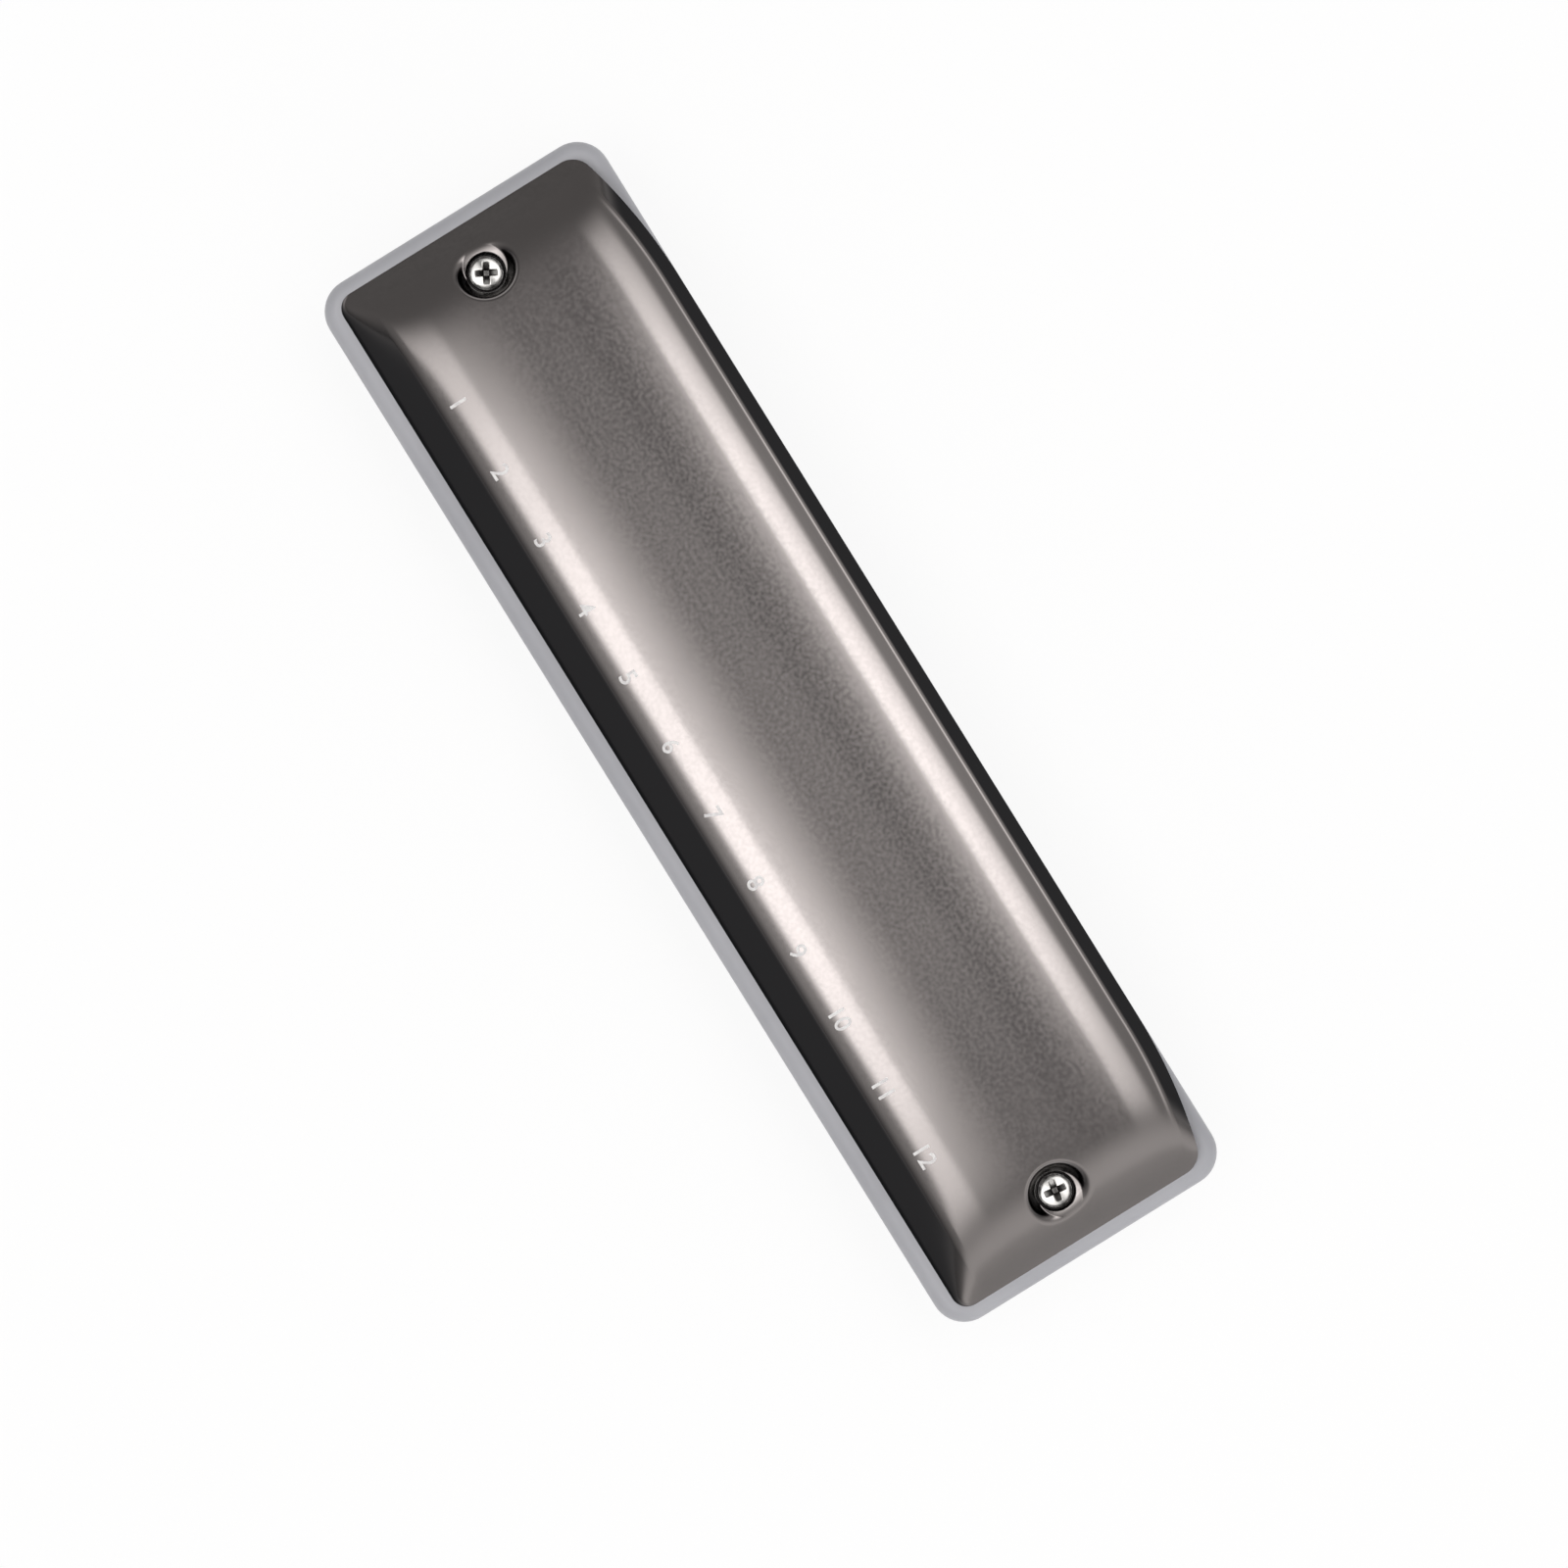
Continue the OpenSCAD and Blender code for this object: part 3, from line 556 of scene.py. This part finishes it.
def black_nickel():
    """Grey on the crown and the ends. Painted shade makes it black where the sheet slopes steeply to the
    front or the back and down the walls of the wells, and a little darker at the ends. A fine satin grain
    lies over all of it."""
    f = Finish("black_nickel", CROWN_GREY, metallic=1.0, roughness=0.17)
    normal, along = f.axes("Normal"), f.axes("Object")["X"]
    # Masks of painted shade: steep slopes at the front and the back, up the walls, in the wells and at the
    # ends.
    steep = calc(f.tree, "ABSOLUTE", normal["Z"])
    front = fade(f.tree, normal["Y"], FRONT_SHADE_SPAN, 0, 1)
    back = fade(f.tree, normal["Y"], BACK_SHADE_SPAN, 1, 0)
    wall = fade(f.tree, steep, WALL_SHADE_SPAN, WALL_SHADE, 1)
    well = fade(f.tree, f.well_distance(), WELL_SHADE_SPAN, WELL_SHADE, 1)
    worn = f.varied(scale=70, detail=3, low=0.96, high=1.04)
    ends = fade(f.tree, calc(f.tree, "ABSOLUTE", along), END_SHADE_SPAN, 1, END_SHADE)
    # Painted shade from the slopes, the wells and the ends, times a faint random tone of the plating.
    slopes, well_shade_and_wear = f.times(f.times(front, back), wall), f.times(well, worn)
    amount = f.times(f.times(slopes, well_shade_and_wear), ends)
    f.color(f.tint(amount, PAINTED_SHADE_BLACK, CROWN_GREY))
    # The specular tint dims the mirror where the black is painted: painted shade on the reflection.
    f.link(f.tint(amount, PAINTED_SHADE_GRAZING, GRAZING_GREY), f.shader.inputs["Specular Tint"])
    f.roughness(f.varied(scale=2600, detail=3, low=0.15, high=0.19))
    f.bump(f.noise(scale=7000, detail=2), distance=0.0012 * MM, strength=0.5)
    return f.material


nickel = black_nickel()
dress(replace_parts(upper_cover, "upper_cover"), nickel)
dress(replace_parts(lower_cover, "lower_cover"), nickel)

# %% [markdown]
# ## The comb
# The comb is moulded in light grey plastic. Its shape in the frame is right, but every edge there is
# knife sharp and its triangles are loose. A copy is merged, its flat faces are put together again,
# and a small bevel catches the light as a moulding's edges do. Subdivision would round it too, but it
# would melt the corners of the square holes.

# %% Copy with soft edges
MERGE_DIST, FLAT_ANGLE = 0.002 * MM, math.radians(0.5)
EDGE_SOFT, EDGE_STEPS = 0.15 * MM, 2


def soft_copy(node, name, width, angle=math.radians(30)):
    """A merged copy of a CAD node, its edges rounded by a bevel of that width."""
    made = bmesh.new()
    made.from_mesh(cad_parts[node].data)
    bmesh.ops.remove_doubles(made, verts=made.verts, dist=MERGE_DIST)
    bmesh.ops.dissolve_limit(made, angle_limit=FLAT_ANGLE, verts=made.verts, edges=made.edges)
    mesh = bpy.data.meshes.new(name)
    made.to_mesh(mesh)
    made.free()
    mesh.shade_smooth()
    mesh.set_sharp_from_angle(angle=angle)
    piece = bpy.data.objects.new(name, mesh)
    bpy.context.scene.collection.objects.link(piece)
    bevel = piece.modifiers.new("edges", "BEVEL")
    bevel.width, bevel.segments = width, EDGE_STEPS
    bevel.limit_method, bevel.angle_limit = "ANGLE", angle
    bevel.harden_normals = True
    print(f"{name}: {len(mesh.vertices)} points")
    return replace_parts(piece, node)


comb = soft_copy("comb", "comb_moulding", EDGE_SOFT)

# %% Grey plastic
COMB_GREY, COMB_DARK, COMB_LIGHT = (0.46, 0.465, 0.495), (0.44, 0.445, 0.475), (0.48, 0.485, 0.515)


def grey_plastic():
    """Light grey moulded plastic: slow changes of tone, and the faint orange peel of the mould."""
    f = Finish("grey_plastic", COMB_GREY, metallic=0.0, roughness=0.38)
    f.color(f.tint(f.varied(scale=90, detail=3, low=0, high=1), COMB_DARK, COMB_LIGHT))
    f.roughness(f.varied(scale=700, detail=2, low=0.33, high=0.44))
    f.bump(f.noise(scale=1500, detail=2), distance=0.01 * MM, strength=0.5)
    return f.material


dress(comb, grey_plastic())

# %% [markdown]
# ## Brass and bronze inside
# The reed plates are milled brass, the reeds are filed from bronze strip, and their rivets are soft
# brass. They keep their CAD shapes. What tells them apart is the direction and size of the marks:
# long milling lines on a plate, short file strokes across a reed. An image of scratches could be laid
# over them, but noise drawn out along one axis has no seams and no end.

# %% Finishes of the inner metals
# Each row: dark and light colour, roughness, stretch, scale and depth in mm of the marks.
METALS = {
    "milled_brass": ((0.66, 0.47, 0.21), (0.78, 0.58, 0.29), 0.34, (0.04, 1, 1), 6000, 0.006),
    "filed_bronze": ((0.70, 0.50, 0.26), (0.86, 0.65, 0.38), 0.3, (0.08, 1, 1), 9000, 0.006),
    "set_brass": ((0.60, 0.43, 0.20), (0.74, 0.55, 0.28), 0.4, (1, 1, 1), 2500, 0.008),
    "bright_nickel": ((0.66, 0.65, 0.62), (0.82, 0.81, 0.78), 0.2, (1, 1, 1), 2200, 0.004),
}


def marked_metal(name, dark, light, roughness, stretch, scale, depth):
    """Metal whose marks are noise drawn out along one axis."""
    f = Finish(name, light, metallic=1.0, roughness=roughness)
    marks = f.noise(scale, 3, stretch)
    f.color(f.tint(f.varied(scale=140, detail=3, low=0, high=1), dark, light))
    f.roughness(fade(f.tree, marks, NOISE_SPAN, roughness - 0.06, roughness + 0.08))
    f.bump(marks, distance=depth * MM, strength=0.6)
    return f.material


made_metals = (marked_metal(name, *row) for name, row in METALS.items())
plate_brass, reed_bronze, rivet_brass, bright_nickel = made_metals

for name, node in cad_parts.items():
    if "plate_screws" in name:
        metal = bright_nickel
    elif "plate" in name:
        metal = plate_brass
    elif "rivet" in name:
        metal = rivet_brass
    elif "reed" in name:
        metal = reed_bronze
    else:
        continue
    node.data.materials.clear()
    node.data.materials.append(metal)

# %% [markdown]
# ## Cover screws and nuts
# Each screw has a low pan head with a cross recess. Turned on a lathe, it is a profile carried round
# an axis, so the grid is rings by angles. The recess is a second formula of the same two parameters,
# which pushes the top rings down where an arm of the cross passes. A Boolean modifier would need a
# rounded cutter to get the same soft edges.

# %% Sizes of a screw
SHANK_R, SEAT_STEP, POINT_LEN = 1 * MM, 0.05 * MM, 0.3 * MM
HEAD_H, HEAD_RIM, DOME_R = 1.2 * MM, 0.14 * MM, 3.4 * HEAD_R
# Reach, half width, depth and softness of a recess's arm, and how steeply its floor rises to its end.
RECESS_REACH, RECESS_HALF_W, RECESS_DEPTH, RECESS_SOFT = 1.1 * MM, 0.27 * MM, 0.62 * MM, 0.12 * MM
ARM_RISE = 1.25
# Steps round, rings of the top and how they crowd outwards, and rings of the rounded rim.
AROUND, TOP_RINGS, TOP_CROWD, RIM_RINGS = 120, 44, 0.9, 7
# How far each screw happens to be turned, in radians.
SCREW_TURNS = {-SCREW_X: 0.5, SCREW_X: 0.15}
print(f"screw head {2 * HEAD_R / MM:.1f} mm wide and {HEAD_H / MM:.1f} mm high")


# %% Formulas of a screw
def turned(radii, heights, centre):
    """Closed surface from rings: radii and heights are arrays of rings by angles."""
    angle = np.linspace(0, 2 * math.pi, radii.shape[1], endpoint=False)
    points = np.stack([radii * np.cos(angle), radii * np.sin(angle), heights], -1) + centre
    index = np.arange(radii.size).reshape(radii.shape)
    return points.reshape(-1, 3), grid_faces(closed(index))


def cross_depth(x, y):
    """Depth of the recess: two arms, each deepest in the middle and rising to its ends."""
    def arm(along, across):
        side = smooth_step((RECESS_HALF_W - np.abs(across)) / RECESS_SOFT + 0.5)
        reach = np.clip(ARM_RISE * (1 - np.abs(along) / RECESS_REACH), 0, 1)
        return side * reach
    return RECESS_DEPTH * np.maximum(arm(x, y), arm(y, x))


def screw_arrays(turn):
    """Rings of a screw from the middle of its head, over the rim and down the shank to its point."""
    angle = np.linspace(0, 2 * math.pi, AROUND, endpoint=False)[None, :]
    flat_r = HEAD_R - HEAD_RIM
    top_r = np.linspace(0.0, 1.0, TOP_RINGS)[:, None] ** TOP_CROWD * flat_r
    dome = HEAD_H - DOME_R + np.sqrt(DOME_R**2 - top_r**2)
    cut = cross_depth(top_r * np.cos(angle + turn), top_r * np.sin(angle + turn))
    rim = np.linspace(0, math.pi / 2, RIM_RINGS)[1:, None]
    rim_r = flat_r + HEAD_RIM * np.sin(rim)
    rim_z = dome[-1] - HEAD_RIM + HEAD_RIM * np.cos(rim)
    tip = screw_low.z - screw_high.z + HEAD_H
    below_r = np.array([HEAD_R, HEAD_R - SEAT_STEP, SHANK_R, SHANK_R, SHANK_R - POINT_LEN, 0.0])[:, None]
    below_z = np.array([SEAT_STEP, 0.0, 0.0, tip + POINT_LEN, tip, tip])[:, None]
    ones = np.ones_like(angle)
    radii = np.vstack([top_r * ones, rim_r * ones, below_r * ones])
    heights = np.vstack([dome - cut, rim_z * ones, below_z * ones])
    return radii, heights


# %% The two cover screws
pair = [turned(*screw_arrays(turn), (x, 0, screw_high.z - HEAD_H)) for x, turn in SCREW_TURNS.items()]
screw_points, screw_faces = joined(pair)
screws = make_piece("cover_screw_pair", screw_points, screw_faces[:, ::-1])

# The nickel's colour, the dark of the painted shade in the cross recess, and the heights over which that
# shade comes in.
SCREW_BRIGHT, SCREW_RECESS_SHADE = (0.66, 0.65, 0.63), (0.16, 0.155, 0.15)
RECESS_SHADE_SPAN = (screw_high.z - 0.55 * MM, screw_high.z - 0.3 * MM)


def screw_nickel():
    """Bright nickel with painted shade in the recess: the colour darkens with the depth below the top of the
    head.
    """
    f = Finish("screw_nickel", SCREW_BRIGHT, metallic=1.0, roughness=0.2)
    recess_shade = fade(f.tree, f.axes("Object")["Z"], RECESS_SHADE_SPAN, 1, 0)
    f.color(f.tint(recess_shade, SCREW_BRIGHT, SCREW_RECESS_SHADE))
    f.roughness(f.varied(scale=2200, detail=3, low=0.14, high=0.26))
    f.bump(f.noise(scale=2200, detail=3), distance=0.004 * MM, strength=0.6)
    return f.material


dress(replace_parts(screws, "cover_screws"), screw_nickel())

# %% The two nuts
nut_low, nut_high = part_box("cover_nuts")
NUT_FLATS, NUT_CHAMFER, NUT_LEAN = 3.6 * MM, 0.12 * MM, math.radians(30)
NUT_SHARP = math.radians(20)


def nut_arrays():
    """Rings of a nut: bore, chamfered face, six flats, chamfered face, bore."""
    angle = np.linspace(0, 2 * math.pi, AROUND, endpoint=False)
    flat = NUT_FLATS / 2 / np.cos((angle % (math.pi / 3)) - math.pi / 6)
    face = np.full_like(flat, NUT_FLATS / 2)
    bore = np.full_like(flat, SHANK_R)
    drop = NUT_CHAMFER + (flat - face) * math.tan(NUT_LEAN)
    tall = nut_high.z - nut_low.z
    radii = np.stack([bore, face - NUT_CHAMFER, flat, flat, face - NUT_CHAMFER, bore, bore])
    heights = np.stack([0 * drop, 0 * drop, drop, tall - drop, tall + 0 * drop, tall + 0 * drop, 0 * drop])
    return radii, heights


pair = [turned(*nut_arrays(), (x, 0, nut_low.z)) for x in (-SCREW_X, SCREW_X)]
nuts = make_piece("cover_nut_pair", *joined(pair), NUT_SHARP)
dress(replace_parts(nuts, "cover_nuts"), bright_nickel)

# %% [markdown]
# ## The numbers
# The holes are numbered 1 to 12 on the bend over them, in plain figures filled with pale grey. Each is
# a text curve with a little depth, made a mesh and cut finer. Its points are then laid on the sheet
# with the same height formula as the cover's, so the figures follow the bend. A shrinkwrap modifier
# would come close, but the formula needs no search for the nearest face.

# %% Figures on the bend
HOLES = 12
# Height, thickness, how far a figure is sunk in the sheet, and how far the row is from the front.
FIGURE_TALL, FIGURE_THICK = 1.7 * MM, 0.03 * MM
FIGURE_SUNK, FIGURE_MIDDLE = FIGURE_THICK / 3, 4.9 * MM
# In the curve's own units, where a letter is about 1 high: depth, swelling, and the longest uncut edge.
CURVE_DEPTH, CURVE_SWELL, CURVE_STEPS, LONG_EDGE, DOUBLE_DIST = 0.02, 0.012, 4, 0.16, 1e-5


def figure_points(text):
    """Vertices and faces of a figure in metres, centred on zero and FIGURE_TALL high."""
    curve = bpy.data.curves.new("figure", "FONT")
    curve.body = text
    curve.extrude, curve.offset = CURVE_DEPTH, CURVE_SWELL
    curve.resolution_u = CURVE_STEPS
    holder = bpy.data.objects.new("figure", curve)
    bpy.context.scene.collection.objects.link(holder)
    bpy.context.view_layer.update()
    shaped = holder.evaluated_get(bpy.context.evaluated_depsgraph_get())
    mesh = bpy.data.meshes.new_from_object(shaped)
    bpy.data.objects.remove(holder)
    made = bmesh.new()
    made.from_mesh(mesh)
    bmesh.ops.remove_doubles(made, verts=made.verts, dist=DOUBLE_DIST)
    bmesh.ops.triangulate(made, faces=made.faces)
    long_edges = [e for e in made.edges if e.calc_length() > LONG_EDGE]
    bmesh.ops.subdivide_edges(made, edges=long_edges, cuts=2)
    bmesh.ops.triangulate(made, faces=made.faces)
    points = np.array([v.co for v in made.verts])
    faces = np.array([[v.index for v in f.verts] for f in made.faces])
    made.free()
    low, high = points.min(0), points.max(0)
    points[:, :2] -= (low[:2] + high[:2]) / 2
    points[:, :2] *= FIGURE_TALL / (high[1] - low[1])
    points[:, 2] = (points[:, 2] - low[2]) / (high[2] - low[2]) * FIGURE_THICK
    return points, faces


parts = []
for hole in range(1, HOLES + 1):
    points, faces = figure_points(str(hole))
    low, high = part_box(f"blow_reed_{hole}")
    points[:, 0] += (low.x + high.x) / 2
    points[:, 1] += FRONT + FIGURE_MIDDLE
    points[:, 2] += FOOT_Z + sheet_height(points[:, 0], points[:, 1], 0) - FIGURE_SUNK
    parts.append((points, faces))
figures = make_piece("hole_numbers", *joined(parts))

# %% The figures' fill
MARK_PALE, MARK_WORN, MARK_FRESH = (0.86, 0.85, 0.84), (0.78, 0.76, 0.76), (0.93, 0.92, 0.91)


def pale_mark():
    """Pale grey fill of the figures, a little worn."""
    f = Finish("pale_mark", MARK_PALE, metallic=0.0, roughness=0.45)
    f.color(f.tint(f.varied(scale=1800, detail=3, low=0, high=1, span=(0.35, 0.65)), MARK_WORN, MARK_FRESH))
    f.roughness(f.varied(scale=3000, detail=2, low=0.38, high=0.55))
    f.bump(f.noise(scale=6000, detail=2), distance=0.004 * MM, strength=0.5)
    return f.material


dress(figures, pale_mark())

# %% [markdown]
# ## The white table
# The harmonica lies on a white table that curves up far away, so no horizon shows from the side. A
# matt surface alone would look grey to the camera, so it also gives a share of plain light of its own.
# A real table ends, and a low, polished end mirrors the dark room past it. For mirror rays alone, the
# table's own light therefore fades beyond hole 1, and by half beyond hole 12. A dark card on the table
# would do the same, but the camera would see it.

# %% The table
FLAT_REACH, TABLE_REACH, TABLE_LIFT = 1.2, 6.0, 0.1
TABLE_FIRST, TABLE_RINGS, TABLE_SPOKES = 0.05, 60, 64
TABLE_WHITE = (0.9, 0.9, 0.9, 1)
# Share and strength of the table's own light, and what is left of it in mirrors past each end.
WHITE_SHARE, WHITE_SEEN, DARK_SIDE, GREY_SIDE = 0.86, 1.03, 0.1, 0.5
SIDE_FROM, SIDE_TO = 0.06, 0.3


def table_paper():
    """Matt white with a share of plain light. The light that a mirror ray meets falls to DARK_SIDE from
    SIDE_FROM to SIDE_TO past hole 1, and to GREY_SIDE past hole 12."""
    material = bpy.data.materials.new("white_table")
    material.use_nodes = True
    tree = material.node_tree
    tree.nodes.clear()
    out, blend, matt, glow = new_nodes(tree, "OutputMaterial", "MixShader", "BsdfDiffuse", "Emission")
    path, place, parts = new_nodes(tree, "LightPath", "TexCoord", "SeparateXYZ")
    matt.inputs["Color"].default_value = TABLE_WHITE
    tree.links.new(place.outputs["Object"], parts.inputs["Vector"])
    kinds = ("Camera", "Glossy", "Transmission")
    camera_ray, glossy_ray, through = (path.outputs[f"Is {kind} Ray"] for kind in kinds)
    seen = calc(tree, "MAXIMUM", camera_ray, through)
    share = calc(tree, "MULTIPLY", calc(tree, "MAXIMUM", seen, glossy_ray), WHITE_SHARE)
    bright = calc(tree, "MULTIPLY", seen, WHITE_SEEN)
    left = fade(tree, parts.outputs["X"], (-SIDE_TO, -SIDE_FROM), DARK_SIDE, 1)
    right = fade(tree, parts.outputs["X"], (SIDE_FROM, SIDE_TO), 1, GREY_SIDE)
    strength = calc(tree, "MAXIMUM", bright, calc(tree, "MULTIPLY", left, right))
    tree.links.new(strength, glow.inputs["Strength"])
    tree.links.new(share, blend.inputs[0])
    tree.links.new(matt.outputs[0], blend.inputs[1])
    tree.links.new(glow.outputs[0], blend.inputs[2])
    tree.links.new(blend.outputs[0], out.inputs["Surface"])
    return material


def white_table():
    """Disc of rings: level out to FLAT_REACH, then rising with the square of the distance."""
    radius = np.concatenate([[0.0], np.linspace(TABLE_FIRST, TABLE_REACH, TABLE_RINGS)])[:, None]
    angle = np.linspace(0, 2 * math.pi, TABLE_SPOKES, endpoint=False)[None, :]
    lift = TABLE_LIFT * (np.maximum(radius - FLAT_REACH, 0) / (TABLE_REACH - FLAT_REACH)) ** 2
    x, y = radius * np.cos(angle), radius * np.sin(angle)
    points = np.stack(np.broadcast_arrays(x, y, cad_low.z + lift), -1)
    index = np.arange(x.size).reshape(x.shape)
    table = make_piece("white_table", points.reshape(-1, 3), grid_faces(closed(index)))
    table.data.materials.append(table_paper())
    return table


white_table()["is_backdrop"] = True

# %% [markdown]
# ## The sky
# Two long soft boxes hang over the table, one towards the mouth side and one towards the back, with a
# dark gap between them. On satin sheet they draw the two bright bands along the crown, and the gap
# keeps the middle grey. Each box is hottest over its middle and fades towards its ends, as the bands
# do. The room is dim on the side of hole 1 and glows softly beyond hole 12.
# All of this is painted into the sky, where edges can fade as a real diffuser's do. Area lamps would
# light the piece as well, but they would mirror with hard edges. The one small lamp only fills the
# shade at hole 12's end, and mirrors don't show it.

# %% Numbers of the sky
ROOM_LEFT, ROOM_LIGHT, ROOM_SPAN = 0.24, 0.35, (-1, -0.3)
HOT_SHARE, HOT_REACH, BOX_REACH = 0.4, 0.09, 0.84
GAP_LIGHT, BEYOND_LIGHT = 0.05, 0.55
# The glow beyond hole 12 comes up over the first span of X, and half of it goes again near the table.
GLOW_RIGHT, GLOW_SPAN, LOW_SPAN, LOW_SHARE = 0.6, (0.5, 0.95), (0.96, 1), 0.5
# A box's near, inner, outer and far lean in degrees, and its radiance.
FRONT_BOX = (-1.2, 11.5, 27, 34, 3.7)
BACK_BOX = (6.8, 7.6, 12.5, 47, 3.75)
SKY_TINT, PLAIN_WHITE = (1, 0.985, 0.98, 1), (1, 1, 1, 1)


# %% Sky with two soft boxes
def soft_box(tree, lean, box):
    """Light that a long box adds to the gap: nothing up to `near` degrees from upright, full from `inner`
    to `outer`, and down to the dim room at `far`."""
    near_lean, inner, outer, far = (math.radians(a) for a in box[:4])
    radiance = box[4]
    rise = fade(tree, lean, (near_lean, inner), 0, radiance - GAP_LIGHT)
    fall = fade(tree, lean, (outer, far), 0, BEYOND_LIGHT - radiance)
    return calc(tree, "ADD", rise, fall)


def sky():
    """Two long soft boxes with a dark gap between them, in a dim room.
    A direction's lean is its angle from upright, seen along the harmonica. Light is
    room + ends x (gap + boxes - room), where `ends` fades the boxes out along X from a hotter middle,
    and the room is darker on the side of hole 1 and glows beyond hole 12. Camera rays see white."""
    world = bpy.data.worlds.new("sky")
    bpy.context.scene.world = world
    world.use_nodes = True
    tree = world.node_tree
    place, parts, path, choice, white = new_nodes(
        tree, "TexCoord", "SeparateXYZ", "LightPath", "MixShader", "Background"
    )
    tree.links.new(place.outputs["Generated"], parts.inputs["Vector"])
    x, y, z = (parts.outputs[axis] for axis in "XYZ")
    to_back = calc(tree, "ARCTAN2", y, z)
    to_front = calc(tree, "MULTIPLY", to_back, -1)
    aside = calc(tree, "ABSOLUTE", x)
    hot = fade(tree, aside, (0, HOT_REACH), HOT_SHARE, 0)
    long_fade = fade(tree, aside, (0, BOX_REACH), 1 - HOT_SHARE, 0)
    ends = calc(tree, "ADD", hot, long_fade)
    walls = fade(tree, x, ROOM_SPAN, ROOM_LEFT, ROOM_LIGHT)
    glow = fade(tree, x, GLOW_SPAN, 0, GLOW_RIGHT)
    low_glow = fade(tree, x, LOW_SPAN, 0, -LOW_SHARE * GLOW_RIGHT)
    room = calc(tree, "ADD", walls, calc(tree, "ADD", glow, low_glow))
    boxes = calc(tree, "ADD", soft_box(tree, to_front, FRONT_BOX), soft_box(tree, to_back, BACK_BOX))
    lamps = calc(tree, "ADD", boxes, GAP_LIGHT)
    light = calc(tree, "MULTIPLY_ADD", calc(tree, "SUBTRACT", lamps, room), ends, room)
    dim = tree.nodes["Background"]
    dim.inputs["Color"].default_value = SKY_TINT
    white.inputs["Color"].default_value = PLAIN_WHITE
    tree.links.new(light, dim.inputs["Strength"])
    tree.links.new(path.outputs["Is Camera Ray"], choice.inputs[0])
    tree.links.new(dim.outputs[0], choice.inputs[1])
    tree.links.new(white.outputs[0], choice.inputs[2])
    tree.links.new(choice.outputs[0], tree.nodes["World Output"].inputs["Surface"])
    print("sky:", len(tree.nodes), "nodes")


sky()

# %% The small lamp
LAMP_RADIANCE, LAMP_LEAN, LAMP_AWAY, LAMP_SIZE = 0.4, math.radians(70), 0.7, (0.32, 0.5)


def side_lamp():
    """Soft lamp low beyond the end of hole 12. It only fills the shade there: neither the camera nor a
    mirror ray sees it."""
    lamp = bpy.data.lights.new("side_lamp", "AREA")
    lamp.shape = "RECTANGLE"
    lamp.size, lamp.size_y = LAMP_SIZE
    lamp.energy = math.pi * lamp.size * lamp.size_y * LAMP_RADIANCE
    holder = bpy.data.objects.new("side_lamp", lamp)
    holder.location = (LAMP_AWAY * math.sin(LAMP_LEAN), 0, LAMP_AWAY * math.cos(LAMP_LEAN))
    holder.rotation_euler = (0, LAMP_LEAN, 0)
    holder.visible_camera = holder.visible_glossy = False
    bpy.context.scene.collection.objects.link(holder)
    print(f"side lamp: {lamp.energy:.3f} W")


side_lamp()

# %% [markdown]
# ## The camera
# The photograph was taken from straight above, so the camera looks straight down through a long lens.
# Its place and turn follow from three things read off the photograph: how many pixels a millimetre of
# the comb takes, where the comb's middle is, and which way its length runs.

# %% The camera over the table
# The photograph is 1600 pixels square and shows 10.86 pixels to the millimetre of the comb.
PIXELS, PIXELS_PER_MM = 1600, 10.86
CENTRE_PIXEL = (786.5, 747)
LENGTH_HEADING = math.radians(-58.2)
CAMERA_UP, SENSOR_WIDTH = 0.9, 36

camera_data = bpy.data.cameras.new("overhead")
camera = bpy.data.objects.new("overhead", camera_data)
bpy.context.scene.collection.objects.link(camera)
bpy.context.scene.camera = camera
view_width = PIXELS / PIXELS_PER_MM * MM
camera_data.sensor_width = SENSOR_WIDTH
camera_data.lens = SENSOR_WIDTH * CAMERA_UP / view_width
# The picture's right and up, as directions on the table, turn the instrument by LENGTH_HEADING.
turn = -LENGTH_HEADING
right = np.array([math.cos(turn), math.sin(turn)])
up = np.array([-math.sin(turn), math.cos(turn)])
offset = (PIXELS / 2 - np.array(CENTRE_PIXEL)) / PIXELS_PER_MM * MM
aim = offset[0] * right - offset[1] * up
camera.location = (aim[0], aim[1], CAMERA_UP)
camera.rotation_euler = (0, 0, turn)
camera_data.clip_start, camera_data.clip_end = 0.01, 20
bpy.context.scene.view_settings.view_transform = "Standard"
print("camera over", np.round(aim / MM, 2), "mm, lens", round(camera_data.lens, 1))

# %% Sizes, and the last line
low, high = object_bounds()
print("box in mm:", [round(v / MM, 2) for v in (*low, *high)])
